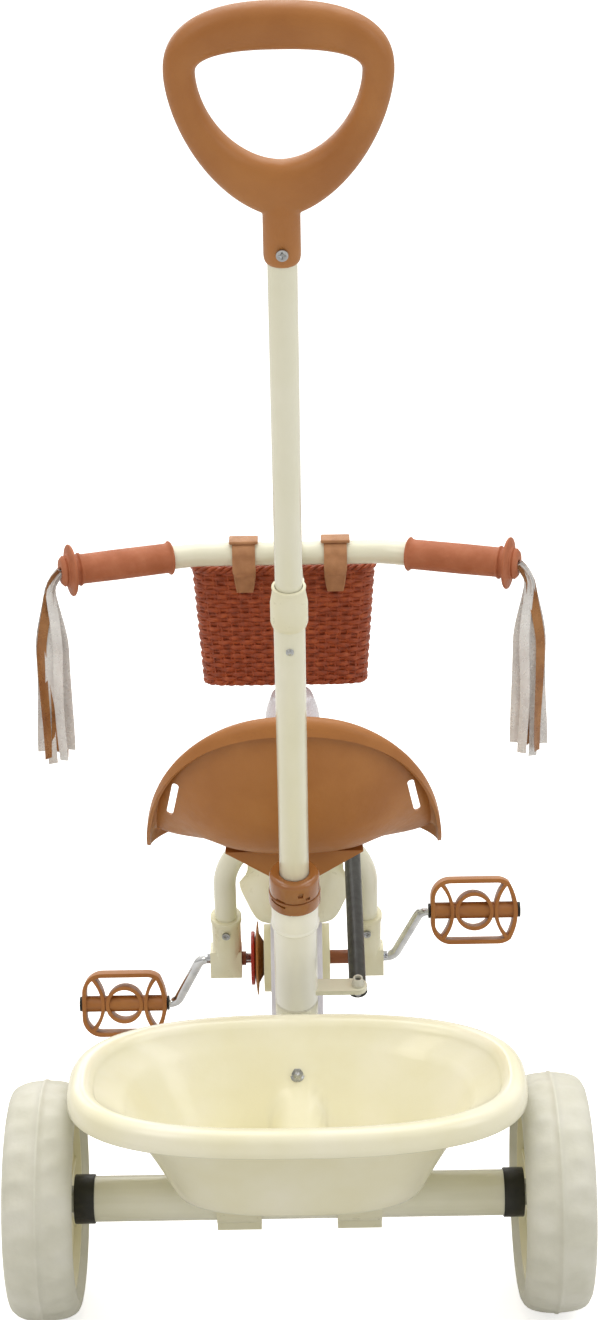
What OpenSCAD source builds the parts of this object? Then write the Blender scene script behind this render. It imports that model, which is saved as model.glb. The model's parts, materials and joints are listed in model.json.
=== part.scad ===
// Children's tricycle with a parent's push handle, a rear bucket and a handlebar basket.
// +Y is forward, +X is the rider's right, +Z is up. The origin is on the ground,
// under the middle of the tricycle's length. Distances given "from the rear axle" run along +Y.

/* [Overall] */
// Rear axle to front axle, along the ground
wheelbase = 450; // [430:2:550]
// Distance between the middles of the two rear wheels
rear_track = 424; // [410:2:520]
// Backward lean of the fork, the push rod column and the push rod, from vertical
rake = 20; // [17:0.5:22]

/* [Rear wheels] */
// Outer radius of a rear wheel
rear_wheel_r = 100; // [95:1:125]
// Width of a rear tyre
rear_tyre_w = 57; // [46:1:68]
// Thickness of a rear tyre between its tread and its rim
rear_tyre_t = 22; // [14:1:28]
// Radius of the steel rod that both rear wheels turn on
axle_rod_r = 5; // [4:0.5:6]

/* [Front wheel and drive] */
// Outer radius of the front wheel
front_wheel_r = 125; // [118:1:134]
// Width of the front tyre
front_tyre_w = 50; // [40:1:60]
// Thickness of the front tyre between its tread and its rim
front_tyre_t = 20; // [14:1:26]
// Radius of the crank rod
crank_r = 5; // [4:0.5:6]
// Distance from the front axle to a pedal's pin
crank_throw = 60; // [50:1:70]
// How far the crank is turned at rest, from straight down towards the front
crank_rest = 20; // [0:1:40]
// Width of a pedal along its pin
pedal_w = 86; // [72:1:96]
// Length of a pedal across its pin
pedal_l = 65; // [54:1:78]
// Outward travel of the pedal clutch
clutch_travel = 5; // [2:0.5:6]

/* [Tubes] */
// Outer radius of the backbone, the axle tube, the head tube and the column
main_r = 19; // [16:0.5:21]
// Wall of the steel tubes
tube_wall = 1.5; // [1.2:0.1:2]
// Outer radius of the fork tube, the steerer and the handlebar
fork_r = 11; // [9:0.5:12]
// Distance of a fork leg from the middle
fork_leg_x = 70; // [66:1:78]
// Height of the fork's bends above the front axle, along its lean
fork_spring = 98; // [92:1:110]

/* [Column and link] */
// Distance from the rear axle to the column's top
column_y = 140; // [136:1:160]
// Height of the column's top above the ground
column_z = 300; // [290:1:330]
// Reach of the steering lever and of the fork's arm
lever_reach = 55; // [50:1:62]
// Radius of the link rod and of its bent ends
link_r = 3; // [2.5:0.5:4]
// Outer radius of the sleeve over the link
sleeve_r = 7.7; // [6:0.1:9]

/* [Push rod] */
// Outer radius of the push rod's lower tube
push_r = 12.7; // [12:0.1:13.5]
// Outer radius of the push rod's upper tube
upper_r = 11; // [10:0.1:11.3]
// Distance along the rod from the column's top to the height collar
collar_at = 306; // [260:2:330]
// Distance along the rod from the column's top to the bottom of the handle
handle_at = 628; // [560:1:700]
// Width of the handle
handle_w = 160; // [140:1:180]
// Thickness of the handle from front to back
handle_t = 26; // [20:1:32]

/* [Handlebar] */
// Distance of the handlebar from the front axle, along the fork's lean
bar_at = 475; // [455:1:500]
// Distance of the handlebar ahead of the steering axis
bar_ahead = 55; // [50:1:60]
// Half of the straight middle of the handlebar
bar_half = 86; // [84:1:100]
// Backward sweep of the handlebar's ends
bar_sweep = 19; // [10:1:25]
// Length of a handlebar end beyond its bend
bar_end = 121; // [112:1:135]
// Length of a grip
grip_l = 104; // [90:1:106]
// Length of the tassels
tassel_l = 185; // [150:1:200]

/* [Seat] */
// Half of the seat's width
seat_hw = 123; // [110:1:135]
// Height of the underside of the seat above the ground
seat_z = 327; // [322:1:350]
// Height of the backrest above the underside of the seat
seat_h = 145; // [110:1:150]
// Distance from the rear axle to the back of the seat
seat_back_y = 147; // [145:1:160]
// Length of the seat from back to front
seat_l = 179; // [170:1:188]
// Wall of the seat
seat_wall = 3.2; // [2.5:0.1:4]

/* [Bucket] */
// Half of the bucket's width at its rim
bucket_hw = 188; // [150:1:195]
// Half of the bucket's length at its rim
bucket_hd = 118; // [95:1:120]
// Distance from the rear axle to the middle of the bucket, backwards
bucket_back = 20; // [16:1:28]
// Height of the bucket's rim above the ground
bucket_top = 225; // [215:1:240]
// Wall of the bucket
bucket_wall = 3; // [2.2:0.1:3.5]

/* [Basket] */
// Half of the basket's width at its rim
basket_hw = 86; // [74:1:90]
// Depth of the basket from back to front at its rim
basket_d = 92; // [80:1:100]
// Height of the basket
basket_h = 118; // [95:1:125]

/* [Hidden] */
$fn = 48;

// Clearances
running = 0.05;      // radial gap of a shaft that turns in its bush
slip = 0.3;          // gap between pieces that only slide or stand next to each other
eps = 0.01;          // overlap that keeps a cut clean

// Cream, tan and metal colours
cream = "#e9e6cf";
ivory = "#c7c6b4";
pale_yellow = "#e3dcae";
tan = "#a8743c";
rust = "#8a4526";
terracotta = "#b2674a";
steel = "#b9bcc0";
black = "#1b1b1b";

// The fork's frame: v runs forward and w runs up along the steering axis, from the front axle.
// The column's frame leans the same way, so the link works as a parallelogram.
column_v = (column_y - wheelbase) * cos(rake) + (column_z - front_wheel_r) * sin(rake);
column_w = (wheelbase - column_y) * sin(rake) + (column_z - front_wheel_r) * cos(rake);
backbone_z = 172;                                     // height of the backbone's level stretch
post_foot = -(column_z - backbone_z - main_r) / cos(rake);   // where the column meets the backbone

// Steering linkage, as heights on the column
lever_t = 5;                                          // thickness of the lever and the arm
lever_low = post_foot + 22;                           // underside of the steering lever
lever_w = 16;
sleeve_rim = 1;                                       // how far the sleeve's end rim stands out
link_level = lever_low - sleeve_r - sleeve_rim - 0.6; // height of the link rod's middle
arm_w = lever_low + column_w;                         // the same height on the fork
link_l = -column_v;
hook_top = lever_low + lever_t + 5;                   // top of the link's bent ends

// Frame
backbone_rise_y = 85;                                 // where it has risen to that height
axle_half = rear_track / 2 - rear_tyre_w / 2 + 0.5;   // half of the axle tube
cap_len = 13;                                         // length of an axle tube's black end cap
head_low = arm_w + lever_t + 12;                      // lower end of the head tube on the fork
head_l = 96;
head_wall = 2;
bush_flange = 3;

// Backbone route in the YZ plane, from the rear axle to the head tube
head_join = head_low + head_l * 0.45;
head_pt = [wheelbase - head_join * sin(rake), front_wheel_r + head_join * cos(rake)];
bend_pt = [column_y + 50, backbone_z];
neck_pt = [column_y + 158, backbone_z + 90];
backbone_up = [backbone_rise_y, backbone_z - rear_wheel_r];
end_gap = 8;                                          // keeps the tube's ends inside the tubes it joins
backbone_pts = [
    [0, rear_wheel_r] + end_gap * backbone_up / norm(backbone_up),
    [backbone_rise_y, backbone_z], bend_pt, neck_pt,
    head_pt - end_gap * (head_pt - neck_pt) / norm(head_pt - neck_pt)];

// Column
post_r = 14;
post_wall = 2.5;
post_top = -56;
column_low = post_foot + 13;
column_high = 12;
neck = -12;                                           // height of the bead under the column's neck
bush_low_l = 16;
rod_seat = -44;                                       // where the push rod's end rests
ring_low = 12;
ring_r = 22.5;
ring_high = 26;
cap_high = 46;

// Push rod
upper_low = 100;                                      // lower end of the upper tube at rest
button_at = collar_at - 18;
button_r = 3.2;
push_down = 55;                                       // travel of the upper tube
push_up = 120;
collar_l = 38;
handle_neck = 42;
handle_mid = handle_at + 146;                         // where the handle is widest
handle_top = handle_mid + 50;

// The tricycle's ends, which place the origin under its middle
front_end = wheelbase + front_wheel_r;
back_end = column_y - (handle_top - 16) * sin(rake) - 13.4;
mid_y = (front_end + back_end) / 2;

// Front drive
hub_in = front_tyre_w / 2 - 1;
hub_out = 33;
bush_r = 8;                                           // outer radius of the crank's bushes
leg_foot = bush_r + 1;                                // where a fork leg ends, above the bush
block_in = fork_leg_x - 14.4;
block_out = fork_leg_x + 17;
pedal_in = 134;
pedal_pin = pedal_in + pedal_w;
clutch_at = -39;

// Mudguard
guard_r = front_wheel_r + 17;
guard_hw = fork_leg_x - fork_r - 12;                // at the fork's bow
guard_wall = 2.6;
guard_back = 142;                                     // angles from straight ahead, over the top
guard_front = 42;

// Seat
seat_post_r = 16;
seat_post_y = column_y + 106;
seat_post_low = backbone_z + (seat_post_y - bend_pt[0]) * (neck_pt[1] - bend_pt[1]) / (neck_pt[0] - bend_pt[0]);
bracket_low = seat_z - 24;
bracket_l = 60;
slot_x = 107;                                         // harness slots, from the middle
seat_lip_out = 11;
seat_lip_down = 15;

// Handlebar
bar_drop = 5;                                         // downward tilt of the swept ends
stem_gap = 3.5;

// Basket
basket_wall = 4;
basket_back = fork_r + 7;                             // back of the basket ahead of the handlebar
basket_low_in = 8;                                    // how far the back slopes in at the bottom
strap_x = 42;
strap_w = 21;
strap_t = 2.4;

// ---------------------------------------------------------------- helpers

module from_axle() translate([0, -mid_y, 0]) children();
module at_rear() from_axle() translate([0, 0, rear_wheel_r]) children();
module at_front() from_axle() translate([0, wheelbase, front_wheel_r]) children();
module at_fork() at_front() rotate([rake, 0, 0]) children();
module at_column() from_axle() translate([0, column_y, column_z]) rotate([rake, 0, 0]) children();
module at_bar() at_fork() translate([0, 0, bar_at]) rotate([-rake, 0, 0])
    translate([0, bar_ahead, 0]) children();
module along_x() rotate([0, 90, 0]) children();
module mirror_x(side) { if (side < 0) mirror([1, 0, 0]) children(); else children(); }
module both_sides() for (side = [-1, 1]) mirror_x(side) children();

// A ring or tube standing on z = low
module tube(r, inner, low, high) translate([0, 0, low]) difference() {
    cylinder(r = r, h = high - low);
    translate([0, 0, -1]) cylinder(r = inner, h = high - low + 2);
}

// A quarter or a half turn of a rod, from the origin up +Z and over towards +X
module turn_over(angle, radius, r, inner = 0)
    translate([radius, 0, 0]) rotate([90, 0, 0]) rotate([0, 0, 180 - angle])
        rotate_extrude(angle = angle) translate([radius, 0]) difference() {
            circle(r = r);
            if (inner > 0) circle(r = inner);
        }

// A route through corner points, with each corner rounded to a radius in a few steps
function unit(v) = v / norm(v);
function corner(a, b, c, radius, steps) = let (
    back = unit(a - b), on = unit(c - b),
    half = acos(back * on) / 2,
    middle = b + unit(back + on) * radius / sin(half),
    first = b + back * radius / tan(half) - middle,
    last = b + on * radius / tan(half) - middle,
    sweep = 180 - 2 * half)
    [for (i = [0 : steps]) middle + (first * sin(sweep * (1 - i / steps)) + last * sin(sweep * i / steps)) / sin(sweep)];
function route(points, radius, steps = 5) = concat([points[0]],
    [for (i = [1 : len(points) - 2]) each corner(points[i - 1], points[i], points[i + 1], radius, steps)],
    [points[len(points) - 1]]);

// A ring of points round each point of a flat route; side is square to the route's plane
function rings_along(path, side, r, count) = [
    for (i = [0 : len(path) - 1]) let (
        ahead = unit(path[min(i + 1, len(path) - 1)] - path[max(i - 1, 0)]),
        across = cross(ahead, side))
        [for (j = [0 : count - 1]) let (b = 360 * j / count) path[i] + r * (side * cos(b) + across * sin(b))]
];
module bent_rod(path, side, r, count = 24) loft(rings_along(path, side, r, count));
module bent_tube(path, side, r, inner, count = 24) {
    outside = rings_along(path, side, r, count);
    inside = rings_along(path, side, inner, count);
    closed_loft(concat(outside, [for (i = [len(path) - 1 : -1 : 0]) inside[i]]));
}

function signed_power(value, power) = sign(value) * pow(abs(value), power);

// A closed ring of points, a superellipse with half sizes hw and hd at height z
function oval(hw, hd, z, middle = 0, squareness = 2.6, count = 64) = [
    for (i = [0 : count - 1]) let (a = 360 * i / count)
        [hw * signed_power(cos(a), 2 / squareness), middle + hd * signed_power(sin(a), 2 / squareness), z]
];

// A solid through a stack of rings with the same number of points
module loft(rings) {
    count = len(rings[0]);
    last = len(rings) - 1;
    polyhedron(
        points = [for (ring = rings) each ring],
        faces = [
            [for (i = [0 : count - 1]) i],
            [for (i = [count - 1 : -1 : 0]) last * count + i],
            for (k = [0 : last - 1], i = [0 : count - 1]) let (j = (i + 1) % count)
                [k * count + i, (k + 1) * count + i, (k + 1) * count + j],
            for (k = [0 : last - 1], i = [0 : count - 1]) let (j = (i + 1) % count)
                [k * count + i, (k + 1) * count + j, k * count + j]
        ]);
}

// A solid through rings that come round to the first one again
module closed_loft(rings) {
    count = len(rings[0]);
    turns = len(rings);
    polyhedron(
        points = [for (ring = rings) each ring],
        faces = [for (k = [0 : turns - 1], i = [0 : count - 1], half = [0, 1]) let (
            next = (k + 1) % turns, j = (i + 1) % count)
            half == 0 ? [k * count + i, next * count + i, next * count + j]
                      : [k * count + i, next * count + j, k * count + j]]);
}

// A hexagon-headed bolt along +Z, its head's underside on z = 0
module bolt(r, length, head_r, head_h) {
    cylinder(r = head_r, h = head_h, $fn = 6);
    translate([0, 0, -length]) cylinder(r = r, h = length + eps);
}

// ---------------------------------------------------------------- frame

backbone_angle = atan2(backbone_z - rear_wheel_r, backbone_rise_y);   // slope of the rear stretch
backbone_path = route([for (p = backbone_pts) [0, p[0], p[1]]], 45);
module backbone_run(r) bent_rod(backbone_path, [1, 0, 0], r);

module axle_tube() color(cream) at_rear() along_x()
    tube(main_r, main_r - tube_wall, -axle_half, axle_half);

module backbone() color(cream) difference() {
    from_axle() bent_tube(backbone_path, [1, 0, 0], main_r, main_r - tube_wall);
    at_rear() along_x() cylinder(r = main_r, h = 4 * main_r, center = true);
    at_fork() translate([0, 0, head_low]) cylinder(r = main_r, h = head_l);
    at_column() translate([0, 0, post_foot - 25]) cylinder(r = post_r, h = 60);
}

module head_tube() color(cream) at_fork()
    tube(main_r, main_r - head_wall, head_low, head_low + head_l);

// Flanged nylon bushes, one pressed into each end of the head tube
module head_bushes() color(ivory) at_fork() for (top = [0, 1])
    translate([0, 0, head_low + top * head_l]) mirror([0, 0, top]) {
        tube(main_r - head_wall, fork_r + running, 0, 14);
        tube(main_r, fork_r + running, -bush_flange, 0);
    }

// Fixed pivot tube that the column turns on, with its thrust flange
module column_post() color(cream) at_column() {
    tube(post_r, post_r - post_wall, post_foot - 10, post_top);
    difference() {
        tube(main_r, post_r, post_foot - 6, column_low - 2 * slip - 2);
        at_post_backbone() backbone_run(main_r);
    }
}
module at_post_backbone() rotate([-rake, 0, 0]) translate([0, -column_y, -column_z]) children();

// Screw and washer that keep the column on its post
module post_screw() color(steel) at_column() {
    translate([0, 0, post_top]) tube(main_r - tube_wall - slip, 3, 0.4, 2);
    translate([0, 0, post_top + 2]) cylinder(r = 5.5, h = 4, $fn = 6);
    translate([0, 0, post_top - 16]) cylinder(r = 3, h = 18 + eps);
    translate([0, 0, post_top - 16]) tube(post_r - post_wall, 3, 0, 12);
}

module seat_post() color(cream) difference() {
    from_axle() translate([0, seat_post_y, 0])
        tube(seat_post_r, seat_post_r - tube_wall, seat_post_low, seat_z - 10);
    from_axle() backbone_run(main_r);
}

// Moulded wedge between the seat and its post
module seat_bracket() color(tan) from_axle() difference() {
    translate([0, seat_post_y + bracket_l / 2, 0]) rotate([90, 0, 0]) linear_extrude(bracket_l) polygon([
        [-ring_r, bracket_low], [ring_r, bracket_low], [62, seat_z - slip - 1], [62, seat_z - slip],
        [-62, seat_z - slip], [-62, seat_z - slip - 1]]);
    translate([0, seat_post_y, 0]) cylinder(r = seat_post_r + running, h = seat_z - 9.5);
    at_seat_bolts() cylinder(r = 2.6, h = seat_z);
}

// Seat surface: a runs round the rim from the back, s runs from the middle to the rim
seat_mid_y = seat_back_y + seat_lip_out + 88;
seat_front_d = seat_back_y + seat_l - seat_mid_y;
function rim_x(a) = seat_hw * signed_power(sin(a), 0.85) * (cos(a) < 0 ? 1 - 0.42 * pow(cos(a), 2) : 1);
function rim_y(a) = cos(a) > 0 ? seat_mid_y - 88 * pow(cos(a), 0.85)
                               : seat_mid_y + seat_front_d * pow(-cos(a), 1.1);
side_rise = 14;
function rim_rise(a) = cos(a) > 0 ? side_rise + (seat_h - side_rise - seat_wall) * cos(a)
                                  : side_rise - 9 * pow(cos(a), 2);
function seat_point(a, s) = [
    rim_x(a) * (s - 0.08 * pow(s, 6)) / 0.92,
    seat_mid_y + (rim_y(a) - seat_mid_y) * (s - 0.08 * pow(s, 6)) / 0.92,
    seat_z + seat_wall + rim_rise(a) * pow(s, 5 - 1.8 * pow(sin(a), 4))
];
module seat() color(tan) from_axle() difference() {
    seat_shell();
    for (side = [-1, 1]) translate([side * slot_x, seat_back_y + 40, seat_z + 56])
        rotate([0, -12 * side, 0]) cube([6, 90, 37], center = true);
    at_seat_bolts() cylinder(r = 2.6, h = seat_z);
}
seat_steps = 48;
seat_rows = [0.25, 0.5, 0.68, 0.8, 0.88, 0.94, 1];
module seat_shell() {
    inner = [for (s = seat_rows) [for (i = [0 : seat_steps - 1]) seat_point(360 * i / seat_steps, s)]];
    outer = [for (s = seat_rows) [for (i = [0 : seat_steps - 1]) seat_under(360 * i / seat_steps, s)]];
    lip_in = [for (i = [0 : seat_steps - 1]) seat_lip(360 * i / seat_steps, 0)];
    lip_top = [for (i = [0 : seat_steps - 1]) seat_lip(360 * i / seat_steps, 1)];
    lip_edge = [for (i = [0 : seat_steps - 1]) seat_lip(360 * i / seat_steps, 2)];
    loft(concat(
        [for (k = [0 : len(seat_rows) - 1]) outer[k]],
        [lip_in, lip_edge, lip_top],
        [for (k = [len(seat_rows) - 1 : -1 : 0]) inner[k]]));
}
// The underside follows the seat surface at the wall's distance
function seat_under(a, s) = let (
    p = seat_point(a, s),
    along = seat_point(a + 1, s) - seat_point(a - 1, s),
    out = seat_point(a, s + 0.01) - seat_point(a, s - 0.01),
    n = cross(along, out)) p - seat_wall * n / norm(n) * sign(n[2]);
// The lip curls out and down from the rim
function lip_size(a) = cos(a) > 0 ? 1 : 1 - 0.6 * pow(cos(a), 2);
function seat_lip(a, part) = let (
    p = seat_point(a, 1),
    out = [sin(a) * seat_hw, -cos(a) * 100],
    u = out / norm(out),
    k = lip_size(a),
    reach = [seat_lip_out - 3, seat_lip_out - 2, seat_lip_out][part] * k,
    drop = [seat_lip_down - 3, 4, seat_lip_down][part] * k * (1 + 0.33 * pow(sin(a), 8)))
    [p[0] + u[0] * reach, p[1] + u[1] * reach, p[2] - drop];

// Four bolts round the seat post, each with a nut under the wedge
seat_bolt_top = seat_z + seat_wall + 1.2;
module at_seat_bolts() for (x = [-1, 1], y = [-1, 1]) translate([x * 17, seat_post_y + y * 22, 0]) children();
module seat_bolts() color(steel) from_axle() at_seat_bolts() {
    translate([0, 0, seat_bolt_top]) bolt(2.5, seat_bolt_top - bracket_low + 4, 4.6, 3.2);
    translate([0, 0, bracket_low - 4]) cylinder(r = 4.4, h = 4, $fn = 6);
}

// ---------------------------------------------------------------- rear axle and wheels

wheel_in = rear_track / 2 - rear_tyre_w / 2;
wheel_out = rear_track / 2 + rear_tyre_w / 2;
rim_r = rear_wheel_r - rear_tyre_t;
hub_start = axle_half + 7.6;                          // inner end of a wheel's hub, in the dish of the wheel

module axle_rod() color(steel) at_rear() along_x()
    cylinder(r = axle_rod_r, h = 2 * wheel_out - 8, center = true);

module axle_caps() color(black) at_rear() both_sides() along_x() {
    tube(main_r + 1.5, main_r, axle_half - cap_len, axle_half);
    tube(main_r + 1.5, axle_rod_r, axle_half, axle_half + 4);
    tube(main_r - tube_wall, axle_rod_r, axle_half - 10, axle_half);
}

module axle_fasteners() color(steel) at_rear() both_sides() along_x() {
    tube(11, axle_rod_r, axle_half + 4.3, hub_start - slip);
    tube(9, axle_rod_r, wheel_out - 12.6, wheel_out - 9);
}

// The tyre's section, with a low crest round the middle of its tread
module rear_tyre(side) color(ivory) at_rear() mirror_x(side) along_x() rotate_extrude() polygon([
    [rim_r, wheel_in + 6], [rear_wheel_r - 14, wheel_in], [rear_wheel_r - 6, wheel_in + 5],
    [rear_wheel_r - 1.5, wheel_in + 16], [rear_wheel_r, rear_track / 2],
    [rear_wheel_r - 1.5, wheel_out - 16], [rear_wheel_r - 6, wheel_out - 5],
    [rear_wheel_r - 14, wheel_out], [rim_r, wheel_out - 6]]);
module rear_tyre_left() rear_tyre(-1);
module rear_tyre_right() rear_tyre(1);

// The rim: a barrel, a dished web with ribs and a hub that runs on the axle rod
module rear_rim(side) color(pale_yellow) at_rear() mirror_x(side) difference() {
    union() {
        along_x() tube(rim_r, rim_r - 4, wheel_in + 6, wheel_out - 6);
        along_x() tube(rim_r - 4, 14, wheel_in + 12, wheel_in + 16);
        along_x() tube(16, axle_rod_r + running, hub_start, wheel_out - 13);
        for (i = [0 : 7]) rotate([45 * i, 0, 0]) translate([wheel_in + 10, -1.75, 15])
            cube([14, 3.5, rim_r - 18]);
    }
    along_x() cylinder(r = axle_rod_r + running, h = 4 * rear_track, center = true);
}
module rear_rim_left() rear_rim(-1);
module rear_rim_right() rear_rim(1);

// Domed cover over the outer end of the hub
module hub_cap(side) color(cream) at_rear() mirror_x(side) along_x() difference() {
    rotate_extrude() polygon([[0, wheel_out + 2], [18, wheel_out + 1], [27, wheel_out - 3],
        [31, wheel_out - 8], [31, wheel_out - 26], [16, wheel_out - 26], [16, wheel_out - 13], [0, wheel_out - 13]]);
    translate([0, 0, wheel_out - 14]) cylinder(r = 14, h = 12);
    translate([0, 0, wheel_out - 27]) tube(29, 16, 0, 12);
}
module hub_cap_left() hub_cap(-1);
module hub_cap_right() hub_cap(1);

// ---------------------------------------------------------------- bucket

bucket_low = rear_wheel_r + main_r + 3;
bucket_drop = bucket_top - bucket_low;
// Half sizes of the bucket's outside at a share k of its height, without its lip
function bucket_side(k, full, floor_share) = full * (floor_share + (0.875 - floor_share) * pow(k, 1.25));
function bucket_ring(k, inset) = oval(bucket_side(k, bucket_hw, 0.55) - inset,
    bucket_side(k, bucket_hd, 0.52) - inset, bucket_low + bucket_drop * k + inset * (k == 0 ? 1 : 0),
    -bucket_back);
function lip_ring(inset, down) = oval(bucket_hw - inset, bucket_hd - inset, bucket_top - down, -bucket_back);

module bucket_outside() loft([
    oval(bucket_side(0, bucket_hw, 0.55) - 9, bucket_side(0, bucket_hd, 0.52) - 9, bucket_low, -bucket_back),
    oval(bucket_side(0, bucket_hw, 0.55), bucket_side(0, bucket_hd, 0.52), bucket_low + 5, -bucket_back),
    bucket_ring(0.25, 0), bucket_ring(0.5, 0), bucket_ring(0.8, 0),
    lip_ring(19, 7), lip_ring(15, 3.5), lip_ring(7, 5), lip_ring(3, 12), lip_ring(3, 20),
    lip_ring(0, 20), lip_ring(0, 10), lip_ring(4, 3), lip_ring(11, 0)]);
module bucket_inside() loft([
    oval(bucket_side(0, bucket_hw, 0.55) - 12, bucket_side(0, bucket_hd, 0.52) - 12,
        bucket_low + bucket_wall, -bucket_back),
    oval(bucket_side(0, bucket_hw, 0.55) - 4, bucket_side(0, bucket_hd, 0.52) - 4,
        bucket_low + 5 + bucket_wall, -bucket_back),
    bucket_ring(0.25, bucket_wall + 0.8), bucket_ring(0.5, bucket_wall + 0.8),
    bucket_ring(0.8, bucket_wall + 0.6), lip_ring(23, 6), lip_ring(18, 1), lip_ring(11.5, -0.01)]);

// The hump in the front wall that clears the backbone
hump_gap = 1.2;
module hump(r) from_axle() translate([0, 0, rear_wheel_r]) rotate([backbone_angle - 90, 0, 0]) {
    cylinder(r = r, h = 140);
    translate([-r, 0, 0]) cube([2 * r, 200, 140]);
}
bolt_on_hump = 98;
module on_hump(h) from_axle() translate([0, 0, rear_wheel_r]) rotate([backbone_angle - 90, 0, 0])
    translate([0, 0, bolt_on_hump]) rotate([90, 0, 0]) translate([0, 0, h]) children();

module bucket() color(cream) difference() {
    from_axle() bucket_outside();
    difference() {
        from_axle() bucket_inside();
        hump(main_r + hump_gap + bucket_wall);
    }
    hump(main_r + hump_gap);
    on_hump(0) cylinder(r = 3.2, h = 60);
    for (x = [-50.5, 50.5]) from_axle() translate([x, 0, bucket_low - 5]) cylinder(r = 2.6, h = 20);
}

// Saddle clips that hold the bucket down on the axle tube
module bucket_clips() color(cream) at_rear() for (x = [-50.5, 50.5]) translate([x, 0, 0]) difference() {
    union() {
        along_x() cylinder(r = main_r + 2.6, h = 37, center = true);
        translate([-18.5, -9, 0]) cube([37, 18, main_r + 3 - slip]);
        translate([-18.5, -6, -main_r - 9]) cube([37, 12, 12]);
    }
    along_x() cylinder(r = main_r + 0.1, h = 60, center = true);
    translate([0, 0, main_r - 1]) cylinder(r = 2.6, h = 8);
}

// Bolt through the hump into the backbone, and two screws into the clips
module bucket_bolts() color(steel) {
    on_hump(main_r + hump_gap + bucket_wall) {
        translate([0, 0, -8]) cylinder(r = 3, h = 14);
        cylinder(r = 6, h = 1.2);
        translate([0, 0, 1.2]) cylinder(r = 5, h = 4, $fn = 6);
    }
    for (x = [-50.5, 50.5]) from_axle() translate([x, 0, bucket_low + bucket_wall]) {
        translate([0, 0, -5.8]) cylinder(r = 2.4, h = 6);
        cylinder(r = 5, h = 1.8);
    }
}

// ---------------------------------------------------------------- column, lock and link

module column_tube() color(cream) at_column() {
    rotate_extrude() polygon([[main_r - tube_wall, column_low], [main_r, column_low], [main_r, neck - 2],
        [main_r + 2.4, neck - 1], [main_r + 2.4, neck + 1], [main_r + 1.4, neck + 2],
        [main_r + 1.4, column_high], [main_r - tube_wall, column_high]]);
}

// Nylon bushes pressed into the column, running on the post
module column_bushes() color(ivory) at_column() {
    tube(main_r - tube_wall, post_r + running, column_low, column_low + bush_low_l);
    tube(main_r, post_r + running, column_low - 2, column_low);
    tube(main_r - tube_wall, post_r + running, post_top - 14, post_top);
}

// A flat lever from a tube's side to an eye that takes a link's bent end
module lever_arm(tube_r, hole_r) difference() {
    union() {
        translate([0, -lever_w / 2, 0]) cube([lever_reach, lever_w, lever_t]);
        translate([lever_reach, 0, 0]) cylinder(r = lever_w / 2, h = lever_t);
    }
    translate([0, 0, -1]) cylinder(r = tube_r, h = lever_t + 2);
    translate([lever_reach, 0, -1]) cylinder(r = hole_r, h = lever_t + 2);
}
module steering_lever() color(cream) at_column() translate([0, 0, lever_low])
    lever_arm(main_r, link_r + running);

// Lower half of the bayonet lock, with a guide for the push rod inside the column
module lock_ring() color(tan) at_column() difference() {
    union() {
        tube(ring_r, push_r + slip, ring_low + slip, ring_high);
        tube(main_r - tube_wall - 0.1, push_r + slip, rod_seat, ring_low + slip);
        tube(main_r - tube_wall - 0.1, 8, rod_seat - 4, rod_seat);
    }
    rotate([0, 0, 215]) translate([ring_r - 3, -7, ring_high - 5]) cube([6, 14, 3]);
}

// Upper half of the lock, which twists to free the push rod
module lock_cap() color(tan) at_column() difference() {
    rotate_extrude() polygon([[push_r + slip, ring_high + slip], [ring_r, ring_high + slip],
        [ring_r, cap_high - 6], [ring_r - 1.5, cap_high - 2.5], [ring_r - 4.5, cap_high], [push_r + slip, cap_high]]);
    rotate([0, 0, -55]) translate([ring_r - 2.5, -3, ring_high + 3]) cube([6, 5, 3]);
}

// The link rod, bent up through the lever's eye and the arm's eye
link_bend = 6;
module link_rod() color(steel) at_column() translate([lever_reach, 0, link_level]) {
    translate([0, link_bend, 0]) rotate([-90, 0, 0]) cylinder(r = link_r, h = link_l - 2 * link_bend);
    for (end = [0, 1]) translate([0, end * link_l, 0]) mirror([0, end, 0]) {
        translate([0, 0, link_bend]) cylinder(r = link_r, h = hook_top - link_level - link_bend);
        translate([0, 0, link_bend]) rotate([0, 0, 90]) mirror([0, 0, 1]) turn_over(90, link_bend, link_r);
    }
}
module link_sleeve() color(black) at_column() translate([lever_reach, 0, link_level])
    rotate([-90, 0, 0]) {
        tube(sleeve_r, link_r, 7, link_l - 26);
        tube(sleeve_r + sleeve_rim, sleeve_r, 7, 13);
    }
// Push-on retainer on the link's rear end
module link_clips() color(ivory) at_column() translate([lever_reach, 0, lever_low + lever_t])
    difference() {
        union() {
            tube(5.6, link_r, slip, 3);
            tube(4.4, link_r, 3, 8);
        }
        translate([3.2, -1, 1]) cube([5, 2, 8]);
    }

// ---------------------------------------------------------------- push rod

module push_tube_lower() color(cream) at_column() difference() {
    tube(push_r, push_r - 1.2, rod_seat + slip, collar_at + 12);
    translate([0, 0, button_at]) rotate([90, 0, 0]) cylinder(r = button_r + running, h = 40);
}
module height_collar() color(cream) at_column() difference() {
    rotate_extrude() polygon([[push_r, collar_at], [push_r + 1, collar_at], [push_r + 2.4, collar_at + 4],
        [push_r + 2.4, collar_at + 23], [push_r + 0.8, collar_at + 32], [upper_r + 1.6, collar_at + collar_l],
        [upper_r + slip, collar_at + collar_l], [upper_r + slip, collar_at + 12 + slip],
        [push_r, collar_at + 12 + slip]]);
}
// Sprung button that stands through the lower tube
module height_button() color(steel) at_column() translate([0, 0, button_at]) rotate([90, 0, 0]) {
    translate([0, 0, push_r - 4]) cylinder(r = button_r, h = 5);
    translate([0, 0, push_r + 1]) rotate_extrude() polygon([[0, 0], [button_r, 0], [button_r - 1.2, 1.2], [0, 1.6]]);
}
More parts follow.
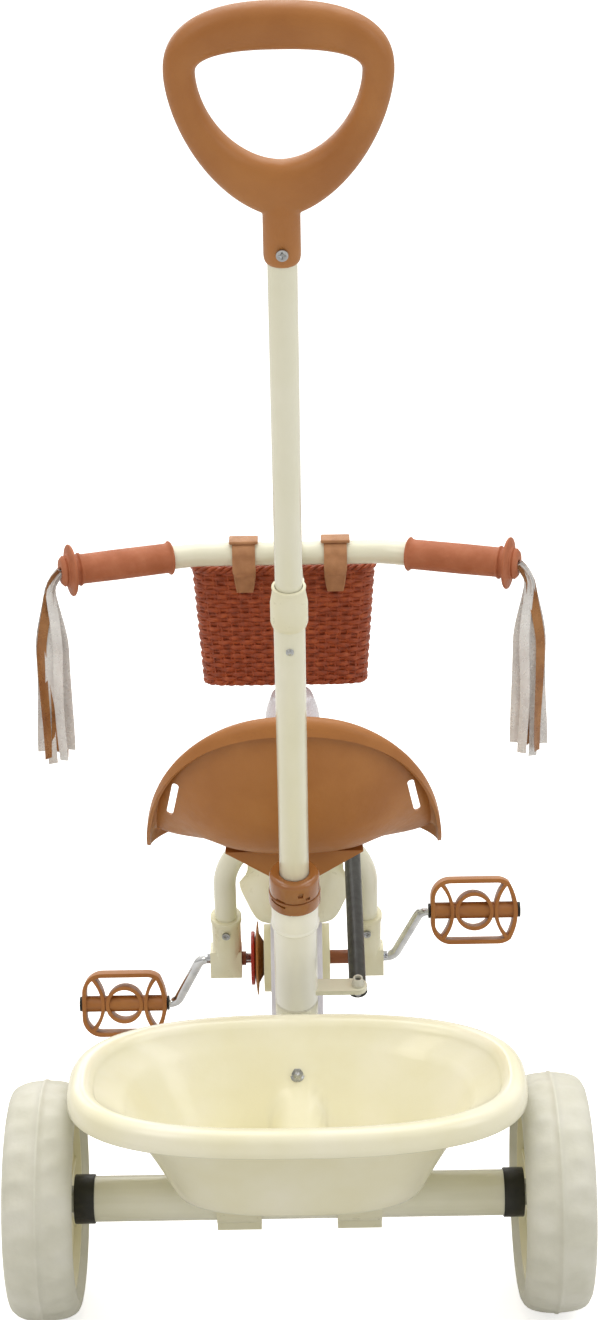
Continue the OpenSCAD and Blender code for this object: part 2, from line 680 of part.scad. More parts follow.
// The upper tube slides in the lower one, with a slot that clears the button
module push_tube_upper() color(cream) at_column() difference() {
    tube(upper_r, upper_r - 1.2, upper_low, handle_at + 35);
    translate([-button_r - 1, -30, button_at - push_up - button_r - 1])
        cube([2 * button_r + 2, 30, push_up + push_down + 2 * button_r + 2]);
}

// Inner and outer outline of the handle's loop, from its widest level
function loop_edge(a, hw, up, down, up_n, down_n) = sin(a) >= 0
    ? [hw * signed_power(cos(a), 2 / up_n), handle_mid + up * pow(sin(a), 2 / up_n)]
    : [hw * signed_power(cos(a), 2 / down_n), handle_mid - down * pow(-sin(a), 2 / down_n)];
loop_steps = 48;
section_steps = 12;
module push_handle() color(tan) at_column() difference() {
    union() {
        handle_loop();
        rotate_extrude() polygon([[0, handle_at], [11.8, handle_at], [13.8, handle_at + 3],
            [13.8, handle_at + handle_neck], [11, handle_at + handle_neck + 8], [0, handle_at + handle_neck + 8]]);
    }
    translate([0, 0, handle_at - 1]) cylinder(r = upper_r, h = 36);
    translate([0, 0, handle_at + 13]) rotate([90, 0, 0]) cylinder(r = 2.4, h = 40);
}
module handle_loop() {
    rings = [for (i = [0 : loop_steps - 1]) let (
        a = 360 * i / loop_steps,
        inside = loop_edge(a, handle_w / 2 - 22.4, 16.6, 66.6, 2.5, 1.85),
        outside = loop_edge(a, handle_w / 2, handle_top - handle_mid, 109, 2.35, 1.7),
        mid = (inside + outside) / 2,
        half = (outside - inside) / 2)
        [for (j = [0 : section_steps - 1]) let (b = 360 * j / section_steps)
            [mid[0] + half[0] * cos(b), handle_t / 2 * sin(b), mid[1] + half[1] * cos(b)]]];
    polyhedron(
        points = [for (ring = rings) each ring],
        faces = [for (i = [0 : loop_steps - 1], j = [0 : section_steps - 1], half = [0, 1]) let (
            n = (i + 1) % loop_steps, m = (j + 1) % section_steps, s = section_steps)
            half == 0 ? [i * s + j, n * s + m, i * s + m] : [i * s + j, n * s + j, n * s + m]]);
}
module handle_screw() color(steel) at_column() translate([0, 0, handle_at + 13]) rotate([90, 0, 0])
    difference() {
        union() {
            translate([0, 0, upper_r - 3]) cylinder(r = 2.2, h = 8);
            translate([0, 0, 14.4]) cylinder(r = 4.5, h = 2.2);
        }
        for (turn = [0, 90]) rotate([0, 0, turn]) translate([-3, -0.5, 15.6]) cube([6, 1, 2]);
    }

// ---------------------------------------------------------------- fork, guard and front wheel

module fork() color(cream) at_fork() {
    for (side = [-1, 1]) translate([side * fork_leg_x, 0, 0])
        tube(fork_r, fork_r - tube_wall, leg_foot, fork_spring);
    translate([-fork_leg_x, 0, fork_spring]) turn_over(180, fork_leg_x, fork_r, fork_r - tube_wall);
    difference() {
        union() {
            tube(fork_r, fork_r - 2, fork_spring + fork_leg_x, bar_at - 60);
            tube(main_r - 3, fork_r, head_low - bush_flange - 4, head_low - bush_flange - slip);
            tube(main_r, fork_r, head_low + head_l + bush_flange + slip, head_low + head_l + bush_flange + 3);
        }
        fork_bow(fork_r - tube_wall);
    }
    difference() {
        translate([0, 0, arm_w]) lever_arm(fork_r, link_r + 0.6);
        fork_bow(fork_r);
    }
}
module fork_bow(r) translate([0, 0, fork_spring]) rotate([90, 0, 0])
    rotate_extrude() translate([fork_leg_x, 0]) circle(r = r);

// Moulded block at the foot of a fork leg, which carries the crank
block_top = 58;
block_screw = 44;                                     // height of the screw that holds the leg
module at_leg(w) rotate([rake, 0, 0]) translate([fork_leg_x, 0, w]) children();
module bearing_block(side) color(cream) at_front() mirror_x(side) difference() {
    union() {
        at_leg(-4) cylinder(r = fork_r + 3.4, h = block_top + 4);
        at_leg(block_top - 5.5) cylinder(r = fork_r + 4.4, h = 5.5);
        translate([block_in, -14, -15.5]) cube([block_out - block_in, 28, 27.5]);
    }
    at_leg(leg_foot) cylinder(r = fork_r, h = 100);
    at_leg(block_screw) rotate([90, 0, 0]) cylinder(r = 2.2, h = 40);
    along_x() cylinder(r = bush_r, h = 200);
}
module bearing_block_left() bearing_block(-1);
module bearing_block_right() bearing_block(1);

// Plain bushes that the crank turns in
module crank_bushes() color(ivory) at_front() both_sides() along_x()
    tube(bush_r, crank_r + running, block_in, block_out);

// Screws in the blocks, the guard's bolt and the stem's clamp bolt
module fork_fasteners() color(steel) {
    at_fork() for (side = [-1, 1]) translate([side * fork_leg_x, 0, block_screw]) rotate([90, 0, 0]) {
        translate([0, 0, fork_r - 4]) cylinder(r = 2.1, h = 9);
        difference() {
            translate([0, 0, fork_r + 3.5]) cylinder(r = 4, h = 2.2);
            for (turn = [0, 90]) rotate([0, 0, turn]) translate([-2.6, -0.5, fork_r + 4.9]) cube([5.2, 1, 2]);
        }
    }
    at_fork() translate([0, 0, guard_r - guard_wall - 3])
        cylinder(r = 3, h = fork_spring + fork_leg_x - guard_r + guard_wall);
    at_fork() translate([0, 0, guard_r - guard_wall - 3]) cylinder(r = 5, h = 3, $fn = 6);
    at_bar() translate([0, 0, -fork_r - stem_gap - 3.2]) cylinder(r = 4.5, h = 3, $fn = 6);
}

// The guard's section, swept over the wheel from ahead of its top to behind it. It is narrow under the
// fork's bow, flares out behind it and tapers to its rear end.
guard_flare = guard_hw + 8;
guard_plan = [[guard_front, guard_hw - 3], [60, guard_hw], [114, guard_hw], [117, guard_hw + 2], [121, guard_flare],
    [125, guard_flare - 1.5], [130, guard_flare - 6], [136, guard_hw - 4], [guard_back - 2, guard_hw - 9],
    [guard_back, guard_hw - 12]];
guard_angles = [guard_front, 50, 60, 70, 80, 90, 100, 108, 114, 117, 119, 121, 123, 125, 127.5, 130, 133, 136, 138,
    guard_back - 2, guard_back];
function guard_section(hw) = [
    [-hw, -16], [-hw + 6, -6], [-hw + 24, 0], [hw - 24, 0], [hw - 6, -6], [hw, -16],
    [hw - 1, -16 - guard_wall], [hw - 8, -7 - guard_wall], [hw - 25, -guard_wall],
    [-hw + 25, -guard_wall], [-hw + 8, -7 - guard_wall], [-hw + 1, -16 - guard_wall]];
module mudguard() color(cream) at_front() difference() {
    loft([for (a = guard_angles) [for (p = guard_section(lookup(a, guard_plan)))
        [p[0], (guard_r + p[1]) * cos(a), (guard_r + p[1]) * sin(a)]]]);
    rotate([rake, 0, 0]) translate([0, 0, guard_r]) cylinder(r = 3.2, h = 30, center = true);
}

// Moulded bell over the top of the head tube
module head_shroud() color("#eceaf0") at_fork() {
    low = head_low + head_l + bush_flange + 3 + slip;
    rotate_extrude() polygon([[fork_r + slip, low + 4], [22, low + 4], [22, low], [26, low], [25.5, low + 14],
        [22, low + 28], [19, low + 36], [fork_r + slip, low + 38]]);
}

// Stem: a quill over the steerer and a forward clamp round the handlebar
module stem() color(cream) difference() {
    union() {
        at_fork() tube(fork_r + 2, fork_r, bar_at - 80, bar_at - 20);
        at_fork() translate([0, 0, bar_at - 20]) cylinder(r = fork_r + 2, h = 6);
        at_bar() along_x() cylinder(r = fork_r + stem_gap, h = 22, center = true);
        stem_neck();
    }
    at_bar() along_x() cylinder(r = fork_r, h = 60, center = true);
    at_fork() translate([0, 0, bar_at - 100]) cylinder(r = fork_r, h = 80);
}
module stem_neck() hull() {
    at_fork() translate([0, 0, bar_at - 32]) cylinder(r = fork_r + 1.5, h = 16, $fn = 32);
    at_bar() translate([0, -6, 0]) along_x() cylinder(r = fork_r - 2, h = 20, center = true, $fn = 32);
}

// The handlebar: straight in the middle, with both ends swept back and slightly down
module bar_frame() at_bar() rotate([bar_drop, 0, 0]) children();
bar_tip = [bar_half + bar_end * cos(bar_sweep), -bar_end * sin(bar_sweep), 0];
bar_path = route([[-bar_tip[0], bar_tip[1], 0], [-bar_half, 0, 0], [bar_half, 0, 0], bar_tip], 60);
module handlebar() color(cream) bar_frame() bent_tube(bar_path, [0, 0, 1], fork_r, fork_r - tube_wall);

// Places children on a handlebar end's axis, with z = 0 at its tip and pointing out
module at_tip(side) bar_frame() mirror_x(side) translate(bar_tip)
    rotate([0, 0, -bar_sweep]) along_x() children();

knob = 7;                                             // how far the knob stands out
module grip(side) color(terracotta) at_tip(side) rotate_extrude() polygon([
    [fork_r, knob - grip_l], [15.5, knob - grip_l], [15.5, knob - grip_l + 3], [13.6, knob - grip_l + 4.5],
    [13.9, knob - grip_l / 2], [13.6, -12], [15, -11], [15, -9], [13.8, -8.5], [13.8, -5], [23.5, -4], [23.5, -1],
    [15, 0], [15, 2], [13.4, 2.6], [14, 4], [13.2, knob - 1], [11, knob], [4, knob], [4, slip], [fork_r, slip]]);
module grip_left() grip(-1);
module grip_right() grip(1);

// Bunch of ribbons that falls from a grip's end
tip_y = bar_ahead + wheelbase - bar_at * sin(rake) - bar_end * sin(bar_sweep) * cos(bar_drop);
tip_x = bar_half + bar_end * cos(bar_sweep);
tip_z = front_wheel_r + bar_at * cos(rake) - bar_end * sin(bar_sweep) * sin(bar_drop);
module tassel(side) color("#e9dfd2") from_axle() mirror_x(side) loft([
    for (k = [0, 0.12, 0.3, 0.6, 1])
        oval(5 + 14 * pow(k, 0.6), 4 + 8 * pow(k, 0.6), tip_z - 2 - tassel_l * k, 0, 2, 16)
        + [for (i = [0 : 15]) [tip_x + 16 + 12 * sin(150 * k), tip_y - 5, 0]]]);
module tassel_left() tassel(-1);
module tassel_right() tassel(1);

// ---------------------------------------------------------------- basket

function basket_ring(z, hw, back, depth) = oval(hw, depth / 2, z, back + depth / 2, 7, 48);
module basket_solid(inset, low, high) loft([
    basket_ring(low, basket_hw - 8.5 - inset, basket_back + basket_low_in + inset,
        basket_d - basket_low_in - 8 - 2 * inset),
    basket_ring(high, basket_hw - inset, basket_back + inset, basket_d - 2 * inset)]);
basket_top = -17;
basket_aside = 6;                                     // hangs this far left of the middle
module basket() color(rust) at_bar() translate([-basket_aside, 0, 0]) difference() {
    basket_solid(0, basket_top - basket_h, basket_top);
    basket_solid(basket_wall, basket_top - basket_h + basket_wall, basket_top + 0.01);
}

// Two leather straps round the handlebar, each with a keeper
module basket_straps() color("#a37754") at_bar() for (side = [-1, 1])
    translate([side * strap_x - strap_w / 2, 0, 0]) rotate([90, 0, 90]) {
        linear_extrude(strap_w) difference() {
            union() {
                circle(r = fork_r + slip + strap_t);
                translate([fork_r - 3, -42]) square([basket_back - slip - fork_r + 3, 42]);
                translate([-2, 0]) square([basket_back - slip + 2, 4]);
            }
            circle(r = fork_r + slip);
            translate([-fork_r, -50]) square([basket_back - strap_t - 0.9 + fork_r, 50 - fork_r * 0.6]);
        }
        translate([-7, fork_r + slip + strap_t - 0.4, -2.75]) cube([14, 2.6, strap_w + 5.5]);
    }

// ---------------------------------------------------------------- front wheel, crank and pedals

front_rim_r = front_wheel_r - front_tyre_t;
half_w = front_tyre_w / 2;
module front_tyre() color("#d9d7de") at_front() along_x() rotate_extrude() polygon([
    [front_rim_r, -half_w + 5], [front_wheel_r - 12, -half_w], [front_wheel_r - 4, -half_w + 4],
    [front_wheel_r - 1, -half_w + 14], [front_wheel_r, 0], [front_wheel_r - 1, half_w - 14],
    [front_wheel_r - 4, half_w - 4], [front_wheel_r - 12, half_w], [front_rim_r, half_w - 5]]);

module front_rim() color(pale_yellow) at_front() difference() {
    union() {
        along_x() tube(front_rim_r, front_rim_r - 4, -half_w + 5, half_w - 5);
        along_x() tube(front_rim_r - 4, 12, -2, 2);
        along_x() tube(14, crank_r, -hub_out, hub_out);
        both_sides() along_x() tube(34, crank_r, hub_in, hub_out);
        for (i = [0 : 7]) rotate([45 * i, 0, 0]) translate([-8, -1.75, 12]) cube([16, 3.5, front_rim_r - 15]);
    }
    along_x() cylinder(r = crank_r + running, h = 200, center = true);
}

// The crank: one rod, bent out to both pedals on opposite sides
crank_lean = 66;                                      // slope of the webs
crank_step = crank_throw / tan(crank_lean);
crank_knee = pedal_in - 10 - crank_step;              // where the web starts, from the middle
module at_crank() at_front() rotate([crank_rest, 0, 0]) children();
module crank() color(steel) at_crank() {
    along_x() cylinder(r = crank_r, h = 2 * crank_knee - 14, center = true);
    for (side = [-1, 1]) {
        bent_rod(route([[side * (crank_knee - 12), 0, 0], [side * crank_knee, 0, 0],
            [side * (crank_knee + crank_step), 0, side * crank_throw],
            [side * (pedal_in + 2), 0, side * crank_throw]], 11), [0, 1, 0], crank_r - 0.06, 20);
        translate([0, 0, side * crank_throw]) mirror_x(side) along_x()
            translate([0, 0, pedal_in - 2.8]) cylinder(r = crank_r, h = pedal_w + 6);
    }
}

module crank_spacers() color("#7d4a2a") at_front() {
    along_x() tube(7, crank_r + 0.1, hub_out + slip, block_in - slip);
    along_x() tube(7, crank_r + 0.1, -block_in + slip, clutch_at - 7 - clutch_travel - slip);
}
module clutch_disc() color("#b93322") at_front() along_x() {
    tube(27, crank_r + running, clutch_at - 7, clutch_at - 3.4);
    tube(12, crank_r + running, clutch_at - 3.4, clutch_at - 1);
}
module clutch_ring() color(tan) at_front() along_x() difference() {
    rotate_extrude() polygon([[crank_r + running, clutch_at - 1], [20, clutch_at - 1], [21, clutch_at - 3],
        [37, clutch_at - 1], [37, clutch_at], [25, clutch_at + 1], [17, clutch_at + 5.6],
        [crank_r + running, clutch_at + 5.6]]);
}

// A pedal: a rounded frame, a ring in its middle, curved ribs and a barrel on the pin
pedal_t = 20;
module pedal_outline(inset) intersection() {
    offset(r = 20 - inset, $fn = 64) square([pedal_w - 40, pedal_l - 40], center = true);
    translate([-pedal_w * 0.16, 0]) circle(r = pedal_w * 0.66 - inset, $fn = 96);
}
module pedal_body() difference() {
    union() {
        linear_extrude(pedal_t, center = true) {
            difference() {
                pedal_outline(0);
                pedal_outline(4);
            }
            difference() {
                circle(r = 19);
                circle(r = 15.5);
            }
            intersection() {
                pedal_outline(2);
                for (x = [-1, 1]) translate([x * 62, 0]) difference() {
                    circle(r = 42, $fn = 96);
                    circle(r = 38.6, $fn = 96);
                }
            }
        }
        along_x() cylinder(r = crank_r + 3.2, h = pedal_w, center = true);
    }
    along_x() cylinder(r = crank_r + running, h = 2 * pedal_w, center = true);
}
module pedal(side) color(tan) at_crank() translate([side * (pedal_in + pedal_w / 2), 0, side * crank_throw])
    rotate([78 - crank_rest, 0, 0]) pedal_body();
module pedal_left() pedal(-1);
module pedal_right() pedal(1);

module pedal_stops() color(black) at_crank() for (side = [-1, 1])
    translate([0, 0, side * crank_throw]) mirror_x(side) along_x() {
        tube(crank_r + 2.6, crank_r, pedal_pin + 0.4, pedal_pin + 3);
        tube(crank_r + 2.4, crank_r, pedal_in - 2.6, pedal_in - 0.4);
    }

// ---------------------------------------------------------------- the part

axle_tube();
backbone();
head_tube();
head_bushes();
column_post();
post_screw();
seat_post();
seat_bracket();
seat();
seat_bolts();
axle_rod();
axle_caps();
axle_fasteners();
bucket();
bucket_clips();
bucket_bolts();
rear_tyre_left();
rear_rim_left();
hub_cap_left();
rear_tyre_right();
rear_rim_right();
hub_cap_right();
column_tube();
column_bushes();
steering_lever();
lock_ring();
lock_cap();
link_rod();
link_sleeve();
link_clips();
push_tube_lower();
height_collar();
height_button();
push_tube_upper();
push_handle();
handle_screw();
fork();
bearing_block_left();
bearing_block_right();
crank_bushes();
fork_fasteners();
mudguard();
head_shroud();
stem();
handlebar();
grip_left();
grip_right();
tassel_left();
tassel_right();
basket();
basket_straps();
front_tyre();
front_rim();
crank();
crank_spacers();
clutch_disc();
clutch_ring();
pedal_left();
pedal_right();
pedal_stops();
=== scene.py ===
import json
from math import atan2, cos, pi, radians, sin, sqrt

import bmesh
import bpy
from mathutils import Matrix, Vector

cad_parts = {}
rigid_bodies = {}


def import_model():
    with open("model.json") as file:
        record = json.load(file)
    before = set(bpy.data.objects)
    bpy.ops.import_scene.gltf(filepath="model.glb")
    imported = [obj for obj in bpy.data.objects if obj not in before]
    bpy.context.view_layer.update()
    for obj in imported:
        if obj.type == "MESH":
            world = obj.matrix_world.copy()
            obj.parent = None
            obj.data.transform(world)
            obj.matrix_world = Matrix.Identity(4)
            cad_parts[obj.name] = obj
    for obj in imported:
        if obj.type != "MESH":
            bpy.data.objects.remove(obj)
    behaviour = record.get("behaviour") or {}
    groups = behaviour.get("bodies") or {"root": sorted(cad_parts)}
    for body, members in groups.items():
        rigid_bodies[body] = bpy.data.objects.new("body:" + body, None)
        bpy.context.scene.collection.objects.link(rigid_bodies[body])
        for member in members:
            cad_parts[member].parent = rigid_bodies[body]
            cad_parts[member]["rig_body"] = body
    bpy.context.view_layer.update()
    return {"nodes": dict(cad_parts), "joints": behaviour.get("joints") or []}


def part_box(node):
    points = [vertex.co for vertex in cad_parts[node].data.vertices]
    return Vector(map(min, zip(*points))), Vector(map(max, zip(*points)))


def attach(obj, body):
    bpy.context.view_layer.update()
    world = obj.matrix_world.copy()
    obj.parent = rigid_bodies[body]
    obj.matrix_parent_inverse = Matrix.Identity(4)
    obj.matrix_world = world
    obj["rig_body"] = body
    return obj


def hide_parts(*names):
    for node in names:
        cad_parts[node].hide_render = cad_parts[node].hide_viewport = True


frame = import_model()

# The tricycle stands on z = 0 and faces +Y. Sizes are in millimetres, times MM.
MM = 0.001
ops = bpy.ops
NODES = frame["nodes"]
JOINTS = {joint["name"]: joint for joint in frame["joints"]}


def joint_place(name):
    return Vector(JOINTS[name]["pos_m"])


REAR = Vector((0, joint_place("left_rear_wheel_spin").y, joint_place("left_rear_wheel_spin").z))
FRONT = joint_place("front_wheel_spin")
COLUMN = joint_place("column_turn")
BAR = joint_place("basket_swing")
LEAN = Vector(JOINTS["steering_turn"]["axis"])          # up along the steering axis
AHEAD = Vector((0, LEAN.z, -LEAN.y))                    # forwards, square to it


def standing(origin, up=Vector((0, 0, 1)), forward=Vector((0, 1, 0))):
    """Places a piece made round the origin, with its Z along up and its Y along forward."""
    across = forward.cross(up)
    turn = Matrix((across, forward, up)).transposed().to_4x4()
    return Matrix.Translation(origin) @ turn


AT_REAR, AT_FRONT = standing(REAR), standing(FRONT)
AT_COLUMN, AT_FORK = standing(COLUMN, LEAN, AHEAD), standing(FRONT, LEAN, AHEAD)
AT_BAR = standing(BAR)
LYING = Matrix.Rotation(pi / 2, 4, "Y")                 # turns a piece's Z along X
MIRRORED = Matrix.Scale(-1, 4, Vector((1, 0, 0)))

# ------------------------------------------------------------------ camera, floor and light

CAMERA_HEIGHT, CAMERA_BEHIND, CAMERA_ASIDE = 1.118, 1.892, 0.008
LOOKS_DOWN, LEANS = 16.2, 0.95                          # degrees
camera_data = bpy.data.cameras.new("camera")
camera_data.sensor_fit = "VERTICAL"
camera_data.sensor_height = 36
camera_data.lens = 68.2
camera_data.clip_end = 300
camera = bpy.data.objects.new("camera", camera_data)
camera.location = (CAMERA_ASIDE, REAR.y - CAMERA_BEHIND, CAMERA_HEIGHT)
camera.rotation_euler = (
    Matrix.Rotation(radians(90 - LOOKS_DOWN), 4, "X") @ Matrix.Rotation(radians(-LEANS), 4, "Z")
).to_euler()
bpy.context.scene.collection.objects.link(camera)
bpy.context.scene.camera = camera


def linear(code):
    """An sRGB hex colour as linear red, green, blue and alpha."""
    parts = [int(code[i:i + 2], 16) / 255 for i in (1, 3, 5)]
    return [c / 12.92 if c <= 0.04045 else ((c + 0.055) / 1.055) ** 2.4 for c in parts] + [1]


def lamp(name, place, aim, size, power, colour="#ffffff"):
    """A soft rectangular studio light."""
    data = bpy.data.lights.new(name, "AREA")
    data.shape = "RECTANGLE"
    data.size, data.size_y = size
    data.energy = power
    data.color = linear(colour)[:3]
    light = bpy.data.objects.new(name, data)
    light.location = place
    light.rotation_euler = (Vector(aim) - Vector(place)).to_track_quat("-Z", "Y").to_euler()
    bpy.context.scene.collection.objects.link(light)


lamp("key_light", (-1.5, -1.6, 2.3), (0, 0, 0.4), (1.0, 1.4), 8, "#fff6ea")
lamp("side_light", (1.9, -1.2, 1.7), (0, 0, 0.4), (0.9, 1.6), 6.5, "#f7f9ff")
lamp("top_light", (0.2, 0.5, 2.8), (0, 0, 0.3), (2.2, 2.0), 22)
lamp("far_light", (-0.8, 2.6, 1.9), (0, 0, 0.4), (2.0, 1.4), 12)

world = bpy.data.worlds.new("studio")
world.use_nodes = True
bpy.context.scene.world = world
bpy.context.scene.view_settings.view_transform = "Standard"

# ------------------------------------------------------------------ materials


def add(tree, kind, links=None, **settings):
    """Adds a node with its settings; links gives its inputs a value or another node's output."""
    node = tree.nodes.new(kind)
    for key, value in settings.items():
        setattr(node, key, value)
    for name, value in (links or {}).items():
        if isinstance(value, bpy.types.NodeSocket):
            tree.links.new(value, node.inputs[name])
        else:
            node.inputs[name].default_value = value
    return node


# The studio's sky is bright overhead and ahead of the tricycle, and dim behind the camera
heading = add(world.node_tree, "ShaderNodeSeparateXYZ",
              {"Vector": add(world.node_tree, "ShaderNodeTexCoord").outputs["Generated"]})
above = add(world.node_tree, "ShaderNodeMapRange", {"Value": heading.outputs["Z"], "From Min": 0.0, "From Max": 0.9,
                                                    "To Min": 0.5, "To Max": 1.15}).outputs["Result"]
ahead = add(world.node_tree, "ShaderNodeMapRange", {"Value": heading.outputs["Y"], "From Min": -0.8, "From Max": 0.8,
                                                    "To Min": 0.8, "To Max": 1.25}).outputs["Result"]
sky = add(world.node_tree, "ShaderNodeMath", {0: above, 1: ahead}, operation="MULTIPLY").outputs["Value"]
behind = add(world.node_tree, "ShaderNodeMath", {
    0: add(world.node_tree, "ShaderNodeLightPath").outputs["Is Camera Ray"], 1: 1.3}, operation="MULTIPLY")
shown = add(world.node_tree, "ShaderNodeMath", {0: sky, 1: behind.outputs["Value"]}, operation="MAXIMUM")
world.node_tree.links.new(shown.outputs["Value"], world.node_tree.nodes["Background"].inputs["Strength"])
world.node_tree.nodes["Background"].inputs["Color"].default_value = linear("#faf7f0")


def surface(name, **constants):
    """A new material with its shader's constant sockets set."""
    material = bpy.data.materials.new(name)
    material.use_nodes = True
    shader = material.node_tree.nodes["Principled BSDF"]
    for key, value in constants.items():
        shader.inputs[key.replace("_", " ")].default_value = value
    return material, material.node_tree, shader


def mottled(tree, place, size, colours, contrast=(0.35, 0.65)):
    """A slow cloudy mix of two or three colours, with patches about size mm across."""
    noise = add(tree, "ShaderNodeTexNoise", {"Vector": place, "Scale": 1 / (size * MM), "Detail": 5.0})
    ramp = add(tree, "ShaderNodeValToRGB", {"Fac": noise.outputs["Fac"]})
    low, high = contrast
    elements = ramp.color_ramp.elements
    elements[0].position, elements[1].position = low, high
    elements[0].color, elements[1].color = linear(colours[0]), linear(colours[-1])
    if len(colours) == 3:
        elements.new((low + high) / 2).color = linear(colours[1])
    return ramp.outputs["Color"]


def varied(tree, place, size, low, high, detail=6.0):
    """A number that wanders between low and high over patches about size mm across."""
    noise = add(tree, "ShaderNodeTexNoise", {"Vector": place, "Scale": 1 / (size * MM), "Detail": detail})
    return add(tree, "ShaderNodeMapRange", {"Value": noise.outputs["Fac"], "From Min": 0.3, "From Max": 0.7,
                                            "To Min": low, "To Max": high}).outputs["Result"]


def relief(tree, shader, height, depth, under=None):
    """Bump of a real depth in mm from a height between 0 and 1."""
    links = {"Height": height, "Distance": depth * MM, "Strength": 1.0}
    if under:
        links["Normal"] = under
    bump = add(tree, "ShaderNodeBump", links)
    tree.links.new(bump.outputs["Normal"], shader.inputs["Normal"])
    return bump.outputs["Normal"]


def moulded(name, colours, roughness, grain, depth, marks=45, gloss=0.5, coat=0.0):
    """Moulded plastic: slow colour drift, a fine spark-eroded grain and handling marks in the gloss."""
    material, tree, shader = surface(name, IOR=1.49, Specular_IOR_Level=gloss, Coat_Weight=coat,
                                     Coat_Roughness=0.08)
    place = add(tree, "ShaderNodeTexCoord").outputs["Object"]
    tree.links.new(mottled(tree, place, marks, colours), shader.inputs["Base Color"])
    tree.links.new(varied(tree, place, marks / 6, *roughness), shader.inputs["Roughness"])
    flow = add(tree, "ShaderNodeTexNoise", {"Vector": place, "Scale": 1 / (grain * 14 * MM), "Detail": 2.0})
    slow = relief(tree, shader, flow.outputs["Fac"], depth * 5)
    fine = add(tree, "ShaderNodeTexNoise", {"Vector": place, "Scale": 1 / (grain * MM), "Detail": 3.0})
    relief(tree, shader, fine.outputs["Fac"], depth, slow)
    return material


# High-density polyethylene, injection moulded: a waxy cream with soft wide highlights
CREAM_POLYETHYLENE = moulded("cream_polyethylene", ["#e4dfc0", "#e8e4c8", "#ebe8d0"], (0.26, 0.36), 0.9, 0.05)
# Polypropylene, polished mould: the bucket's glossy cream, a little yellow where it is thin
BUCKET_POLYPROPYLENE = moulded("bucket_polypropylene", ["#ece7c8", "#efebd0", "#f2eed8"], (0.13, 0.22), 1.6, 0.05,
                               marks=70, coat=0.25)
# Blown polyethylene: grey ivory tyres with a rough parting skin and scuffs from the floor
IVORY_BLOWN = moulded("ivory_blown_polyethylene", ["#cdccbd", "#d3d2c4", "#d8d7cb"], (0.38, 0.52), 0.8, 0.12, marks=30)
# Foamed EVA: the pale lavender front tyre, even and nearly dull
LAVENDER_EVA = moulded("lavender_eva", ["#d3d1d9", "#dad8e0", "#e1dfe6"], (0.45, 0.6), 0.6, 0.1, marks=26, gloss=0.35)
# Polypropylene in pale yellow: the wheel centres, satin with flow marks
YELLOW_POLYPROPYLENE = moulded("yellow_polypropylene", ["#e6e0bd", "#eae5c6", "#eeeace"], (0.28, 0.4), 1.0, 0.06)
# Polypropylene with tan masterbatch and a leather-fine mould grain: seat, handle and pedals
TAN_POLYPROPYLENE = moulded("tan_polypropylene", ["#a4672e", "#aa6d33", "#b07338"], (0.36, 0.48), 0.7, 0.09, marks=55)
# ABS in tan from a polished mould: the lock's bright cap
TAN_ABS = moulded("tan_abs", ["#925a29", "#99602e", "#a06734"], (0.14, 0.22), 1.2, 0.04, coat=0.4)
# ABS in red: the clutch disc
RED_ABS = moulded("red_abs", ["#a82a18", "#b32f1c", "#ba3520"], (0.2, 0.3), 1.0, 0.05)
# Nylon in dark brown: the crank's spacers
BROWN_NYLON = moulded("brown_nylon", ["#84492a", "#8d502e", "#975833"], (0.35, 0.5), 0.8, 0.08)
# Nylon left natural: bushes and clips, milky and satin
NATURAL_NYLON = moulded("natural_nylon", ["#d3d0c0", "#dcdacc", "#e4e2d6"], (0.3, 0.42), 0.8, 0.05)
# Polyethylene in black: axle end caps and stops, with grey scuffs
BLACK_POLYETHYLENE = moulded("black_polyethylene", ["#121210", "#191916", "#26261f"], (0.35, 0.55), 0.7, 0.1)
# Vinyl tube: the black sleeve over the steering link
BLACK_VINYL = moulded("black_vinyl", ["#23241f", "#282924", "#2e2f29"], (0.3, 0.45), 0.9, 0.06)
# Thermoplastic rubber: terracotta grips with a dry, dusty sheen
TERRACOTTA_RUBBER = moulded("terracotta_rubber", ["#a9623f", "#b06846", "#b66f4d"], (0.5, 0.64), 0.5, 0.12, marks=18,
                            gloss=0.35)


def powder_coat(name, colours):
    """Powder-coated steel: gloss with an orange-peel ripple about 3 mm across and faint dust."""
    material, tree, shader = surface(name, IOR=1.5, Coat_Weight=0.3, Coat_Roughness=0.06)
    place = add(tree, "ShaderNodeTexCoord").outputs["Object"]
    tree.links.new(mottled(tree, place, 90, colours), shader.inputs["Base Color"])
    tree.links.new(varied(tree, place, 9, 0.16, 0.27), shader.inputs["Roughness"])
    peel = add(tree, "ShaderNodeTexNoise", {"Vector": place, "Scale": 1 / (3 * MM), "Detail": 1.0})
    relief(tree, shader, peel.outputs["Fac"], 0.035)
    return material


def pearl_plastic():
    """Pearl-white ABS: mica flake gives the head shroud a cool sheen."""
    material, tree, shader = surface("pearl_abs", IOR=1.52, Metallic=0.25, Coat_Weight=0.6, Coat_Roughness=0.07)
    place = add(tree, "ShaderNodeTexCoord").outputs["Object"]
    flake = add(tree, "ShaderNodeTexVoronoi", {"Vector": place, "Scale": 1 / (0.7 * MM)})
    ramp = add(tree, "ShaderNodeValToRGB", {"Fac": flake.outputs["Distance"]})
    ramp.color_ramp.elements[0].color = linear("#f6f4fa")
    ramp.color_ramp.elements[1].color = linear("#dcd9e4")
    tree.links.new(ramp.outputs["Color"], shader.inputs["Base Color"])
    tree.links.new(varied(tree, place, 6, 0.22, 0.32), shader.inputs["Roughness"])
    return material


